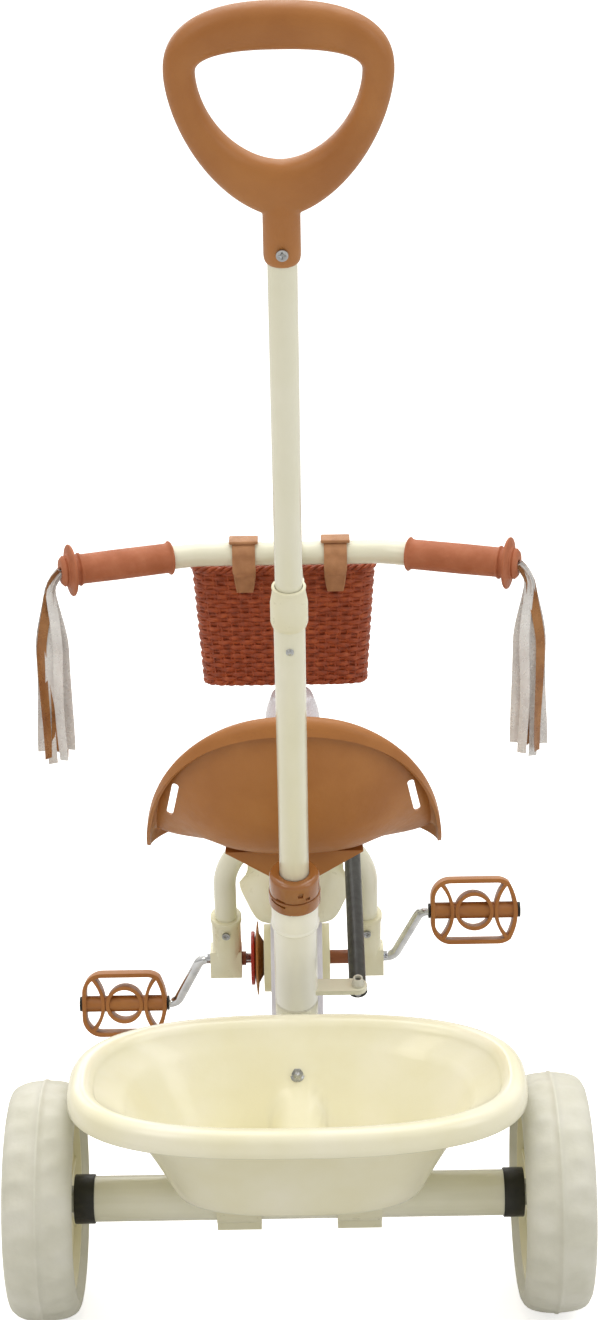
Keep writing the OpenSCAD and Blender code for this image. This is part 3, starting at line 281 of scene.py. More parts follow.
def plated_steel(name, colours, roughness, scratch=0.02):
    """Plated steel: polished or zinc metal with fine draw lines and faint blotches in the plating."""
    material, tree, shader = surface(name, Metallic=1.0)
    place = add(tree, "ShaderNodeTexCoord").outputs["Object"]
    tree.links.new(mottled(tree, place, 14, colours), shader.inputs["Base Color"])
    tree.links.new(varied(tree, place, 3, *roughness), shader.inputs["Roughness"])
    drawn = add(tree, "ShaderNodeMapping", {"Vector": place, "Scale": (0.06, 1.0, 1.0)})
    lines = add(tree, "ShaderNodeTexNoise", {"Vector": drawn.outputs["Vector"], "Scale": 1 / (0.5 * MM), "Detail": 3.0})
    relief(tree, shader, lines.outputs["Fac"], scratch)
    return material


def wicker_cane():
    """Resin cane, extruded and woven: rust brown strands with darker crevices and fine lines along them."""
    material, tree, shader = surface("rust_resin_cane", IOR=1.49, Coat_Weight=0.15, Coat_Roughness=0.3)
    strand = add(tree, "ShaderNodeUVMap", uv_map="strand").outputs["UV"]
    place = add(tree, "ShaderNodeTexCoord").outputs["Object"]
    tree.links.new(mottled(tree, place, 7, ["#8a3a16", "#a4481e", "#b85a2a"], (0.3, 0.7)), shader.inputs["Base Color"])
    along = add(tree, "ShaderNodeMapping", {"Vector": strand, "Scale": (14.0, 0.8, 1.0)})
    fibre = add(tree, "ShaderNodeTexNoise", {"Vector": along.outputs["Vector"], "Scale": 1.0, "Detail": 3.0})
    relief(tree, shader, fibre.outputs["Fac"], 0.35)
    tree.links.new(varied(tree, place, 2, 0.38, 0.6), shader.inputs["Roughness"])
    return material


def strap_leather():
    """Split cowhide, dyed and glazed: pebble grain about 1 mm across, darker in the creases."""
    material, tree, shader = surface("tan_leather", IOR=1.48, Sheen_Weight=0.15)
    place = add(tree, "ShaderNodeTexCoord").outputs["Object"]
    grain = add(tree, "ShaderNodeTexVoronoi", {"Vector": place, "Scale": 1 / (1.0 * MM)}, feature="DISTANCE_TO_EDGE")
    tree.links.new(mottled(tree, place, 12, ["#aa754c", "#b68156", "#c18b60"]), shader.inputs["Base Color"])
    edge = add(tree, "ShaderNodeMapRange", {"Value": grain.outputs["Distance"], "From Max": 0.16})
    relief(tree, shader, edge.outputs["Result"], 0.12)
    tree.links.new(varied(tree, place, 5, 0.42, 0.58), shader.inputs["Roughness"])
    return material


def ribbon_film(name, colours):
    """Metallised film ribbon: pearly, with fine lengthwise ribs 0.8 mm apart from the slitter."""
    material, tree, shader = surface(name, IOR=1.55, Metallic=0.35, Coat_Weight=0.5, Coat_Roughness=0.15)
    place = add(tree, "ShaderNodeTexCoord").outputs["Object"]
    width = add(tree, "ShaderNodeUVMap", uv_map="strand").outputs["UV"]
    tree.links.new(mottled(tree, place, 22, colours), shader.inputs["Base Color"])
    ribs = add(tree, "ShaderNodeTexWave", {"Vector": width, "Scale": 1.4, "Distortion": 0.4}, bands_direction="X")
    relief(tree, shader, ribs.outputs["Fac"], 0.06)
    tree.links.new(varied(tree, place, 8, 0.2, 0.36), shader.inputs["Roughness"])
    return material


CREAM_STEEL = powder_coat("cream_powder_coat", ["#e6e4cc", "#eae8d3", "#edebd9"])
# The turning column's coat: whiter than the cream coat, partly its own paint and partly a painted highlight that stands
# in for its gloss
WHITE_COAT_AND_PAINTED_HIGHLIGHT = powder_coat("white_powder_coat", ["#f1f1e8", "#f4f4ec", "#f7f7f0"])
PEARL_ABS, CANE, LEATHER = pearl_plastic(), wicker_cane(), strap_leather()
CHROME = plated_steel("chrome_plate", ["#c9cbce", "#d8dadd", "#dfe1e3"], (0.05, 0.13), 0.005)
ZINC = plated_steel("zinc_plate", ["#9fa1a4", "#b0b2b4", "#bcbec0"], (0.24, 0.4))
PEARL_RIBBON = ribbon_film("pearl_ribbon", ["#e6e3e2", "#efedec", "#f8f6f5"])
TAN_RIBBON = ribbon_film("tan_ribbon", ["#9a6230", "#a8713c", "#b57e4a"])

# ------------------------------------------------------------------ helpers for modelling


def deselect():
    if bpy.context.mode != "OBJECT":
        ops.object.mode_set(mode="OBJECT")
    ops.object.select_all(action="DESELECT")


def alone(piece):
    """Makes a piece the only selected one, and the active one."""
    deselect()
    piece.select_set(True)
    bpy.context.view_layer.objects.active = piece


def shaped(piece, kind, **settings):
    """Adds a modifier and applies it."""
    alone(piece)
    modifier = piece.modifiers.new(kind.lower(), kind)
    for key, value in settings.items():
        setattr(modifier, key, value)
    ops.object.modifier_apply(modifier=modifier.name)
    return piece


def placed(piece, place):
    """Puts a piece's place into its mesh and leaves its object at the origin."""
    piece.data.transform(place @ piece.matrix_basis)
    piece.matrix_basis = Matrix.Identity(4)
    if place.determinant() < 0:
        piece.data.flip_normals()
    return piece


def smoothed(piece, angle=32):
    alone(piece)
    ops.object.shade_smooth_by_angle(angle=radians(angle))
    return piece


def finished(piece, body, material, slot, *stood_for, angle=32):
    """Shades a piece, gives it its material and rides it on its body; its slot is not used."""
    smoothed(piece, angle)
    piece.data.materials.clear()
    piece.data.materials.append(material)
    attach(piece, body)
    if stood_for:
        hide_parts(*stood_for)
    return piece


def turned(name, profile, steps=72, closed=True):
    """A piece turned round Z: a ring is added, then extruded and scaled from point to point.
    The profile is a list of (radius, height) in mm; a closed one is a ring's section, an open one is a solid's."""
    radius, height = profile[0]
    deselect()
    ops.mesh.primitive_circle_add(vertices=steps, radius=radius * MM, location=(0, 0, height * MM),
                                  fill_type="NOTHING" if closed else "NGON")
    piece = bpy.context.object
    piece.name = piece.data.name = name
    placed(piece, Matrix.Identity(4))
    ops.object.mode_set(mode="EDIT")
    for next_radius, next_height in profile[1:] + (profile[:1] if closed else []):
        ops.mesh.extrude_region_move(TRANSFORM_OT_translate={"value": (0, 0, (next_height - height) * MM)})
        growth = next_radius / radius
        ops.transform.resize(value=(growth, growth, 1), center_override=(0, 0, next_height * MM))
        radius, height = next_radius, next_height
    ops.mesh.select_all(action="SELECT")
    ops.mesh.remove_doubles(threshold=0.01 * MM)
    ops.mesh.normals_make_consistent(inside=False)
    ops.object.mode_set(mode="OBJECT")
    return piece


def skinned(name, rings, closed=False, capped=True, around=True):
    """A skin over rings of points in mm. closed joins the last ring to the first; around closes each ring."""
    mesh = bpy.data.meshes.new(name)
    piece = bpy.data.objects.new(name, mesh)
    bpy.context.scene.collection.objects.link(piece)
    form = bmesh.new()
    rows = [[form.verts.new(Vector(point) * MM) for point in ring] for ring in rings]
    count = len(rows[0])
    for k in range(len(rows) if closed else len(rows) - 1):
        low, high = rows[k], rows[(k + 1) % len(rows)]
        for i in range(count if around else count - 1):
            j = (i + 1) % count
            form.faces.new((low[i], low[j], high[j], high[i]))
    if capped and around and not closed:
        form.faces.new(list(reversed(rows[0])))
        form.faces.new(rows[-1])
    form.to_mesh(mesh)
    form.free()
    return piece


def outward(piece):
    """Turns a closed piece's faces to the outside."""
    alone(piece)
    ops.object.mode_set(mode="EDIT")
    ops.mesh.select_all(action="SELECT")
    ops.mesh.remove_doubles(threshold=0.01 * MM)
    ops.mesh.normals_make_consistent(inside=False)
    ops.object.mode_set(mode="OBJECT")
    return piece


def refined(node, bevel=0.0, material=None, slot=None, segments=2, angle=32):
    """A finer copy of a CAD node: its corners are merged and its edges get a moulded or filed radius."""
    piece = bpy.data.objects.new(node + "_piece", NODES[node].data.copy())
    bpy.context.scene.collection.objects.link(piece)
    alone(piece)
    ops.object.mode_set(mode="EDIT")
    ops.mesh.select_all(action="SELECT")
    ops.mesh.remove_doubles(threshold=0.02 * MM)
    if bevel:
        ops.mesh.dissolve_limited(angle_limit=radians(0.5))
    ops.object.mode_set(mode="OBJECT")
    if bevel:
        shaped(piece, "BEVEL", width=bevel * MM, segments=segments, limit_method="ANGLE", angle_limit=radians(40),
               use_clamp_overlap=True)
        shaped(piece, "TRIANGULATE", min_vertices=5)
    return finished(piece, NODES[node]["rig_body"], material, slot, node, angle=angle)

# ------------------------------------------------------------------ tassels

BAR_HALF, BAR_END, SWEEP, DROP = 86, 121, radians(19), radians(5)    # the handlebar's straight half and its swept end
KNOB = 7                                                  # how far a grip's knob stands past the bar's tip
GRIP_TIP = Vector((BAR_HALF + BAR_END * cos(SWEEP), -BAR_END * sin(SWEEP), 0))
SWEPT = Matrix.Rotation(DROP, 4, "X")


def at_tip(side):
    """Places a piece made along Z on a handlebar end, with Z = 0 at the tip and pointing out."""
    out = Matrix.Translation(GRIP_TIP * MM) @ Matrix.Rotation(-SWEEP, 4, "Z") @ LYING
    return AT_BAR @ SWEPT @ (MIRRORED if side < 0 else Matrix.Identity(4)) @ out


RIBBON_W, RIBBON_T = 9.0, 0.3
RIBBONS = 9
ACROSS = [-0.5, -0.38, 0, 0.38, 0.5]                      # points across a ribbon, as shares of its width


def smooth_step(value):
    value = min(1, max(0, value))
    return value * value * (3 - 2 * value)


def ribbon_route(side, index):
    """A ribbon leaves the knob's middle bunched with the others, bends over, then hangs in a loose spray."""
    start = at_tip(side) @ Vector((0, 0, (KNOB - 1) * MM)) / MM
    out = Vector((side, 0, 0))
    spread = (index - (RIBBONS - 1) / 2) / (RIBBONS - 1) * 2
    deep = sin(index * 2.4) * 8
    length = 178 + 14 * ((index * 7) % RIBBONS) / RIBBONS
    points = [start, start + out]
    for k in range(1, 31):
        down = k / 30
        bunch = 10.5 * (1 - (1 - min(1, down / 0.12)) ** 2)
        open_out = smooth_step((down - 0.04) / 0.4)
        wave = 1.8 * down * sin(down * (5 + index % 3) + index * 1.7)
        points.append(start + out * (1 + bunch + 11.5 * spread * open_out + wave)
                      + Vector((0, deep * open_out + 0.6 * wave, -(length - 9) * down)))
    return points, Vector((cos(index * 0.5), 0.35 * sin(index * 1.3), 0)).normalized()


def ribbon(side, index):
    """A flat film strip that follows its route, slowly turning and slightly curled across."""
    points, aside = ribbon_route(side, index)
    rings, last = [], len(points) - 1
    for k, point in enumerate(points):
        along = (points[min(k + 1, last)] - points[max(k - 1, 0)]).normalized()
        turn = Matrix.Rotation(radians((20 + 14 * (index % 4)) * k / last * (-1) ** index), 3, along)
        wide = turn @ (aside - along * aside.dot(along)).normalized()
        face = along.cross(wide)
        curl = [wide * RIBBON_W * share + face * 1.1 * (0.25 - share * share) * 2 for share in ACROSS]
        rings.append([point + c + face * RIBBON_T / 2 for c in curl]
                     + [point + c - face * RIBBON_T / 2 for c in reversed(curl)])
    name = f"ribbon_{'right' if side > 0 else 'left'}_{index + 1}"
    piece = skinned(name, rings)
    strand = piece.data.uv_layers.new(name="strand")
    for loop in piece.data.loops:
        ring, place = divmod(loop.vertex_index, 2 * len(ACROSS))
        share = ACROSS[min(place, 2 * len(ACROSS) - 1 - place)]
        strand.data[loop.index].uv = ((share + 0.5) * RIBBON_W, ring * 6.0)
    outward(piece)
    node = "tassel_right" if side > 0 else "tassel_left"
    finished(piece, "steering", TAN_RIBBON if index % 3 == 1 else PEARL_RIBBON, "ribbon_foil", node, angle=60)


for handle_side in (-1, 1):
    for number in range(RIBBONS):
        ribbon(handle_side, number)

# ------------------------------------------------------------------ floor

deselect()
ops.mesh.primitive_plane_add(size=300)
floor = bpy.context.object
floor.name = "floor"
floor_paint, floor_tree, floor_shader = surface("studio_floor", Roughness=0.75)
# It looks white, yet throws little light up at the tricycle's underside and back
seen = add(floor_tree, "ShaderNodeLightPath").outputs["Is Camera Ray"]
floor_tone = add(floor_tree, "ShaderNodeMapRange", {"Value": seen, "To Min": 0.7, "To Max": 0.86}).outputs["Result"]
floor_tree.links.new(floor_tone, floor_shader.inputs["Base Color"])
floor_glow = add(floor_tree, "ShaderNodeMath", {0: seen, 1: 0.62}, operation="MULTIPLY").outputs["Value"]
floor_tree.links.new(floor_glow, floor_shader.inputs["Emission Strength"])
floor_shader.inputs["Emission Color"].default_value = linear("#ffffff")
floor.data.materials.append(floor_paint)

# ------------------------------------------------------------------ wheels


def ring_profile(half):
    """A closed section that is the same on both sides of its middle, from its half."""
    return half + [(radius, -height) for radius, height in reversed(half) if height > 0]


def tyre(name, mid, width, rim, outer, shoulder, lugs, wave, crest, steps):
    """A hollow-blown tyre: its section is turned, then waved shallow lugs are pressed into both shoulders."""
    w = width / 2
    half = [(outer, 0), (outer - 0.15, crest), (outer - 0.9, crest + 0.7), (outer - 1.1, w * 0.22),
            (outer - 1.5, w * 0.4), (outer - 2.3, w * 0.56), (outer - 3.6, w * 0.7), (outer - 5.4, w * 0.82),
            (outer - 8, w * 0.92), (outer - 11, w * 0.975), (outer - 14.5, w), (outer - 17, w * 0.99),
            (outer - shoulder, w * 0.93), (rim + 0.4, w * 0.83), (rim, w * 0.78)]
    piece = turned(name, ring_profile(half), steps)
    for vertex in piece.data.vertices:
        x, y, z = vertex.co / MM
        radius, share = sqrt(x * x + y * y), abs(z) / w
        if share < 0.12 or radius < outer - shoulder + 2:
            continue
        beat = lugs * atan2(y, x) + (pi if z < 0 else 0) + 1.2 * sin(3 * share)
        depth = wave * sin(pi * min(1, (share - 0.1) / 0.92)) * (0.5 + 0.5 * cos(beat)) ** 0.7
        vertex.co.x *= 1 - depth / radius
        vertex.co.y *= 1 - depth / radius
    return placed(piece, Matrix.Translation((mid * MM, 0, 0)) @ LYING)


def box_size(node):
    low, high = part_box(node)
    return (Vector(high) - Vector(low)) / MM, (Vector(high) + Vector(low)) / 2 / MM


def wheels():
    size, middle = box_size("rear_tyre_right")
    for side in (-1, 1):
        tag = "right" if side > 0 else "left"
        piece = tyre(f"blown_tyre_{tag}", side * middle.x, size.x, 78, size.z / 2, 17.5, 26, 1.9, 1.1, 208)
        body = f"{tag}_rear_wheel"
        finished(placed(piece, AT_REAR), body, IVORY_BLOWN, "ivory_tyre", f"rear_tyre_{tag}", angle=50)
        refined(f"rear_rim_{tag}", 0.7, YELLOW_POLYPROPYLENE, "yellow_rim")
        refined(f"hub_cap_{tag}", 0.8, CREAM_POLYETHYLENE, "cream_plastic", 3)
    size, middle = box_size("front_tyre")
    piece = tyre("front_tread", 0, size.x, 105, size.z / 2, 15, 40, 1.3, 2.2, 240)
    finished(placed(piece, AT_FRONT), "front_wheel", LAVENDER_EVA, "pale_tyre", "front_tyre", angle=50)
    refined("front_rim", 0.7, YELLOW_POLYPROPYLENE, "yellow_rim")


wheels()

# ------------------------------------------------------------------ bucket


def signed_power(value, power):
    return (1 if value >= 0 else -1) * abs(value) ** power


def oval(hw, hd, z, middle=0.0, squareness=2.6, count=176):
    """A ring of points on a rounded rectangle with half sizes hw and hd."""
    ring = []
    for i in range(count):
        a = 2 * pi * i / count
        ring.append((hw * signed_power(cos(a), 2 / squareness), middle + hd * signed_power(sin(a), 2 / squareness), z))
    return ring


BUCKET_W, BUCKET_D, BUCKET_BACK, BUCKET_WALL = 188, 118, 20, 3
BUCKET_LOW, BUCKET_TOP = 122, 225
SLOPE = atan2(172 - 100, 85)                              # the backbone's rise out of the axle tube
HUMP = 20.2                                               # radius of the channel that clears the backbone


def bucket_wall(share, inset):
    """A ring of the bucket's body at a share of its height."""
    def reach(full, floor):
        return full * (floor + (0.875 - floor) * share ** 1.25) - inset
    return oval(reach(BUCKET_W, 0.55), reach(BUCKET_D, 0.52), BUCKET_LOW + (BUCKET_TOP - BUCKET_LOW) * share,
                -BUCKET_BACK)


def humped(ring, radius):
    """Presses the backbone's round channel into the front of a ring, with soft edges."""
    pressed = []
    for x, y, z in ring:
        across = sqrt(max(0, radius ** 2 - min(abs(x), radius) ** 2))
        along = (z - 100 - across * cos(SLOPE)) / sin(SLOPE)
        face = along * cos(SLOPE) - across * sin(SLOPE)
        hold = smooth_step((radius + 4.5 - abs(x)) / 7)
        pressed.append((x, y + (min(y, face) - y) * hold if y > -BUCKET_BACK else y, z))
    return pressed


def bucket():
    def lip(inset, down):
        return oval(BUCKET_W - inset, BUCKET_D - inset, BUCKET_TOP - down, -BUCKET_BACK)

    def floor_ring(inset, rise):
        low_w, low_d = BUCKET_W * 0.55, BUCKET_D * 0.52
        return oval(low_w - inset, low_d - inset, BUCKET_LOW + rise, -BUCKET_BACK)

    shares = [0.1, 0.17, 0.25, 0.33, 0.42, 0.5, 0.58, 0.66, 0.74, 0.81]
    outside = [floor_ring(inset, rise) for inset, rise in ((9, 0), (5, 0.6), (2.2, 2), (0.6, 4.5))]
    outside += [bucket_wall(share, 0) for share in shares]
    rolled = [lip(*step) for step in ((20, 12), (18.6, 8), (17, 5), (14.5, 3.6), (11, 3.4), (7.5, 4.6), (4.8, 7.5),
                                      (3.4, 11), (3, 15), (3, 19), (2.2, 20), (0.8, 20), (0, 19), (0, 14), (0.3, 10),
                                      (1.2, 6.4), (3, 3.4), (5.5, 1.4), (8.5, 0.3), (11.5, 0), (14.5, 0.4),
                                      (17.2, 1.6), (19.6, 3.8), (21.4, 7), (22.8, 11))]
    inside = [bucket_wall(share, BUCKET_WALL + 0.8) for share in reversed(shares)]
    inside += [floor_ring(BUCKET_WALL + inset, BUCKET_WALL + rise)
               for inset, rise in ((0.8, 4.5), (2.6, 2), (5.4, 0.6), (9.4, 0))]
    rings = [humped(ring, HUMP) for ring in outside] + rolled + [humped(ring, HUMP + BUCKET_WALL) for ring in inside]
    piece = outward(placed(skinned("bucket_tub", rings), Matrix.Translation((0, REAR.y, 0))))
    shaped(piece, "TRIANGULATE", min_vertices=5)
    finished(piece, "frame", BUCKET_POLYPROPYLENE, "bucket_plastic", "bucket", angle=60)
    refined("bucket_clips", 0.6, CREAM_POLYETHYLENE, "cream_plastic")


bucket()

# ------------------------------------------------------------------ seat

SEAT_W, SEAT_Z, SEAT_H, SEAT_BACK, SEAT_L = 123, 327, 145, 147, 179
SEAT_WALL, SIDE_RISE = 3.2, 14
LIP_OUT, LIP_DOWN = 11, 15
SEAT_BACK_D = 88
SEAT_MID = SEAT_BACK + LIP_OUT + SEAT_BACK_D
SEAT_FRONT_D = SEAT_BACK + SEAT_L - SEAT_MID


def seat_rim(a):
    """The rim's place, and how high it stands over the pan; a is 0 at the back and pi at the front."""
    x = SEAT_W * signed_power(sin(a), 0.85) * (1 - 0.42 * cos(a) ** 2 if cos(a) < 0 else 1)
    if cos(a) > 0:
        y = SEAT_MID - SEAT_BACK_D * cos(a) ** 0.85
        rise = SIDE_RISE + (SEAT_H - SIDE_RISE - SEAT_WALL) * cos(a)
    else:
        y = SEAT_MID + SEAT_FRONT_D * (-cos(a)) ** 1.1
        rise = SIDE_RISE - 9 * cos(a) ** 2
    return Vector((x, y, SEAT_Z + SEAT_WALL + rise)), rise


def seat_point(a, s):
    rim, rise = seat_rim(a)
    pull = (s - 0.08 * s ** 6) / 0.92
    return Vector((rim.x * pull, SEAT_MID + (rim.y - SEAT_MID) * pull, rim.z - rise + rise * s ** (5 - 1.8 * sin(a) ** 4)))


def seat_lip(a, reach, drop):
    """A point of the rolled lip, out from the rim and below it."""
    out = Vector((sin(a) * SEAT_W, -cos(a) * 100, 0)).normalized()
    size = 1 if cos(a) > 0 else 1 - 0.6 * cos(a) ** 2
    return seat_point(a, 1) + out * reach * size - Vector((0, 0, drop * size * (1 + 0.33 * sin(a) ** 8)))


def seat():
    steps = 144
    rows = [0.04, 0.12, 0.22, 0.34, 0.46, 0.56, 0.64, 0.71, 0.77, 0.82, 0.865, 0.905, 0.94, 0.97, 0.99, 1]
    lip = [(1.6, 0.1), (3.6, 0.5), (5.6, 1.4), (7.4, 3), (8.8, 5.2), (9.7, 8), (10.3, 11.5), (10.8, 15.2)]
    angles = [2 * pi * i / steps for i in range(steps)]
    rings = [[seat_point(a, s) for a in angles] for s in rows]
    rings += [[seat_lip(a, reach, drop) for a in angles] for reach, drop in lip]
    piece = skinned("seat_shell", rings, capped=False)
    alone(piece)
    ops.object.mode_set(mode="EDIT")
    ops.mesh.select_all(action="DESELECT")
    ops.object.mode_set(mode="OBJECT")
    for edge in piece.data.edges:
        edge.select = max(edge.vertices) < steps
    ops.object.mode_set(mode="EDIT")
    ops.mesh.fill()
    ops.mesh.select_all(action="SELECT")
    ops.mesh.normals_make_consistent(inside=False)
    ops.object.mode_set(mode="OBJECT")
    middle = min(piece.data.polygons, key=lambda face: face.center.xy.length)
    if middle.normal.z < 0:
        piece.data.flip_normals()
    shaped(piece, "SOLIDIFY", thickness=SEAT_WALL * MM, offset=-1)
    for side in (-1, 1):
        deselect()
        ops.mesh.primitive_cube_add(size=1)
        slot = bpy.context.object
        slot.data.transform(Matrix.Translation(Vector((side * 107, SEAT_BACK + 40, SEAT_Z + 56)) * MM)
                            @ Matrix.Rotation(radians(-12 * side), 4, "Y")
                            @ Matrix.Diagonal((6 * MM, 90 * MM, 37 * MM, 1)))
        shaped(slot, "BEVEL", width=2.4 * MM, segments=4, limit_method="ANGLE", angle_limit=radians(60))
        shaped(piece, "BOOLEAN", operation="DIFFERENCE", object=slot, solver="EXACT")
        bpy.data.objects.remove(slot)
    placed(piece, Matrix.Translation((0, REAR.y, 0)))
    finished(piece, "frame", TAN_POLYPROPYLENE, "tan_plastic", "seat", angle=50)
    refined("seat_bracket", 1.2, TAN_POLYPROPYLENE, "tan_plastic", 3)


seat()

# ------------------------------------------------------------------ column, lock and push rod

TUBE_R, NECK_R, NECK = 19, 20.4, -12
COLUMN_LOW = (300 - 172 - TUBE_R) / -LEAN.z + 13          # lower end of the turning column
RING_R, RING_LOW, RING_HIGH, CAP_HIGH = 22.5, 12, 26, 46
ROD_R, UPPER_R, COLLAR = 12.7, 11, 306
HANDLE_LOW = 628


def arc(middle, height, radius, start, stop, count):
    """Points of a rounded corner in a turned profile; angles in degrees from straight out."""
    return [(middle + radius * cos(radians(start + (stop - start) * k / count)),
             height + radius * sin(radians(start + (stop - start) * k / count))) for k in range(count + 1)]


def column():
    profile = [(17.5, COLUMN_LOW), (18.6, COLUMN_LOW), (TUBE_R, COLUMN_LOW + 0.4), (TUBE_R, NECK - 2.4),
               *arc(19.2, NECK, 2.2, -80, 55, 6), (NECK_R, NECK + 2.4), (NECK_R, 11.4), (20, 12), (17.5, 12)]
    piece = placed(turned("column_sleeve", profile, 96), AT_COLUMN)
    # Its whiter coat is partly a painted highlight
    finished(piece, "column", WHITE_COAT_AND_PAINTED_HIGHLIGHT, "cream_steel", "column_tube", angle=40)
    ring = [(13, RING_LOW), (17.2, RING_LOW - 0.3), (17.2, RING_LOW + 0.5), *arc(RING_R - 1.5, RING_LOW + 2.4, 1.5, -75, 0, 4),
            *arc(RING_R - 0.8, RING_HIGH - 1.2, 0.8, 0, 80, 3), (13, RING_HIGH - 0.4)]
    ring_piece = placed(turned("lock_lower_ring", ring, 96), AT_COLUMN)
    cap = [(13, RING_HIGH + 0.4), *arc(RING_R - 1.4, RING_HIGH + 1.1, 0.8, -80, 0, 3), (RING_R - 0.8, CAP_HIGH - 9),
           *arc(RING_R - 5.3, CAP_HIGH - 5, 4.4, 12, 78, 8), (14.5, CAP_HIGH), (13, CAP_HIGH - 0.6)]
    cap_piece = placed(turned("lock_upper_cap", cap, 96), AT_COLUMN)
    for piece, angle, height, size in ((ring_piece, 228, RING_HIGH - 3.2, (16, 8, 2.2)),
                                       (ring_piece, 268, RING_LOW + 0.6, (6, 8, 2.4)),
                                       (cap_piece, 302, RING_HIGH + 4.2, (4.4, 5, 3)),
                                       (cap_piece, 284, RING_HIGH + 9.5, (4.8, 6, 5)),
                                       (cap_piece, 236, RING_HIGH + 1.4, (9, 6, 1.8))):
        cut_recess(piece, angle, height, size)
    finished(ring_piece, "column", TAN_ABS, "tan_gloss", "lock_ring", angle=40)
    finished(cap_piece, "lock", TAN_ABS, "tan_gloss", "lock_cap", angle=40)


def cut_recess(piece, angle, height, size):
    """Cuts a small slot into the outside of a ring on the column; angle is round the column from its right."""
    deselect()
    ops.mesh.primitive_cube_add(size=1)
    block = bpy.context.object
    tilt = Matrix.Rotation(radians(-6), 4, "X")
    block.data.transform(AT_COLUMN @ Matrix.Rotation(radians(angle), 4, "Z")
                         @ Matrix.Translation(Vector((RING_R, 0, height)) * MM) @ tilt
                         @ Matrix.Diagonal((size[1] * MM, size[0] * MM, size[2] * MM, 1)))
    shaped(block, "BEVEL", width=0.5 * MM, segments=2, limit_method="ANGLE", angle_limit=radians(60))
    shaped(piece, "BOOLEAN", operation="DIFFERENCE", object=block, solver="EXACT")
    bpy.data.objects.remove(block)


def push_rod():
    lower = [(11.5, -43.7), (12.3, -43.7), (ROD_R, -43.2), (ROD_R, COLLAR + 11.7), (11.5, COLLAR + 11.7)]
    finished(placed(turned("rod_lower", lower, 96), AT_COLUMN), "push_rod", CREAM_STEEL, "cream_steel",
             "push_tube_lower", angle=40)
    collar = [(11.4, COLLAR), (ROD_R + 0.8, COLLAR), (ROD_R + 1.1, COLLAR + 0.4), (ROD_R + 2.2, COLLAR + 3.6),
              (ROD_R + 2.4, COLLAR + 4.6), (ROD_R + 2.4, COLLAR + 22.4), (ROD_R + 2.2, COLLAR + 23.8),
              (ROD_R + 0.8, COLLAR + 32), (ROD_R + 0.5, COLLAR + 33.6), *arc(UPPER_R + 1.6, COLLAR + 36.8, 1.2, -20, 90, 5),
              (11.4, COLLAR + 38)]
    finished(placed(turned("rod_collar", collar, 96), AT_COLUMN), "push_rod", CREAM_POLYETHYLENE, "cream_plastic",
             "height_collar", angle=40)
    upper = [(9.8, 100), (10.6, 100), (UPPER_R, 100.5), (UPPER_R, 657.5), (9.8, 657.5)]
    finished(placed(turned("rod_upper", upper, 96), AT_COLUMN), "push_grip", CREAM_STEEL, "cream_steel",
             "push_tube_upper", angle=40)


column()
push_rod()


def handle_edge(a, hw, up, down, up_n, down_n):
    """A point of the handle's inner or outer outline, up from its widest level."""
    if sin(a) >= 0:
        return Vector((hw * signed_power(cos(a), 2 / up_n), 0, up * sin(a) ** (2 / up_n)))
    return Vector((hw * signed_power(cos(a), 2 / down_n), 0, -down * (-sin(a)) ** (2 / down_n)))


def handle():
    """The D grip: a swept oval section with its neck, melted into one skin with soft fillets."""
    steps, round_steps, level = 96, 28, HANDLE_LOW + 146
    rings = []
    for i in range(steps):
        a = 2 * pi * i / steps
        inside = handle_edge(a, 57.6, 16.6, 66.6, 2.5, 1.85)
        outside = handle_edge(a, 80, 50, 109, 2.35, 1.7)
        middle, half = (inside + outside) / 2, (outside - inside) / 2
        ring = []
        for j in range(round_steps):
            b = 2 * pi * j / round_steps
            squarer = signed_power(cos(b), 0.86)
            ring.append(middle + half * squarer + Vector((0, 13 * signed_power(sin(b), 0.86), 0))
                        + Vector((0, 0, level)))
        rings.append(ring)
    piece = outward(skinned("push_grip_moulding", rings, closed=True))
    neck = [(0.5, HANDLE_LOW), (10.4, HANDLE_LOW), (12.3, HANDLE_LOW + 0.8), (13.4, HANDLE_LOW + 2.8),
            (13.8, HANDLE_LOW + 6), (13.7, HANDLE_LOW + 42), (12.4, HANDLE_LOW + 50), (0.5, HANDLE_LOW + 54)]
    stalk = turned("neck", neck, 64, closed=False)
    alone(piece)
    stalk.select_set(True)
    ops.object.join()
    shaped(piece, "REMESH", mode="VOXEL", voxel_size=1.15 * MM, adaptivity=0)
    shaped(piece, "SMOOTH", factor=0.5, iterations=9)
    placed(piece, AT_COLUMN)
    finished(piece, "push_grip", TAN_POLYPROPYLENE, "tan_plastic", "push_handle", angle=60)


handle()

# ------------------------------------------------------------------ head shroud, mudguard and grips



def shroud():
    low = (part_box("head_shroud")[0][2] - FRONT.z) / LEAN.z / MM + 26 * -LEAN.y / LEAN.z
    profile = [(22.4, low + 0.4), (24.6, low), *arc(25.2, low + 0.9, 0.8, -60, 10, 3), (25.7, low + 6),
               (25.2, low + 13), (23.9, low + 20), (22.2, low + 26), (20.8, low + 31), (19.4, low + 35),
               (17.6, low + 37.2), (14.6, low + 38), (11.4, low + 38), (11.4, low + 34), (22.4, low + 5)]
    piece = placed(turned("bell_shroud", profile, 96), AT_FORK)
    finished(piece, "steering", PEARL_ABS, "pearl_shroud", "head_shroud", angle=45)


shroud()

GUARD_R, GUARD_HW, GUARD_WALL = 142, 47, 2.6
# Half width by angle from straight ahead: narrow under the fork, flared behind it, tapering to the rear end
GUARD_PLAN = [(42, -3), (60, 0), (114, 0), (117, 2), (121, 8), (125, 6.5), (130, 2), (136, -4), (142, -12)]


def guard_half(angle):
    for (low, start), (high, end) in zip(GUARD_PLAN, GUARD_PLAN[1:]):
        if angle <= high:
            share = max(0, (angle - low) / (high - low))
            return GUARD_HW + start + (end - start) * share
    return GUARD_HW + end


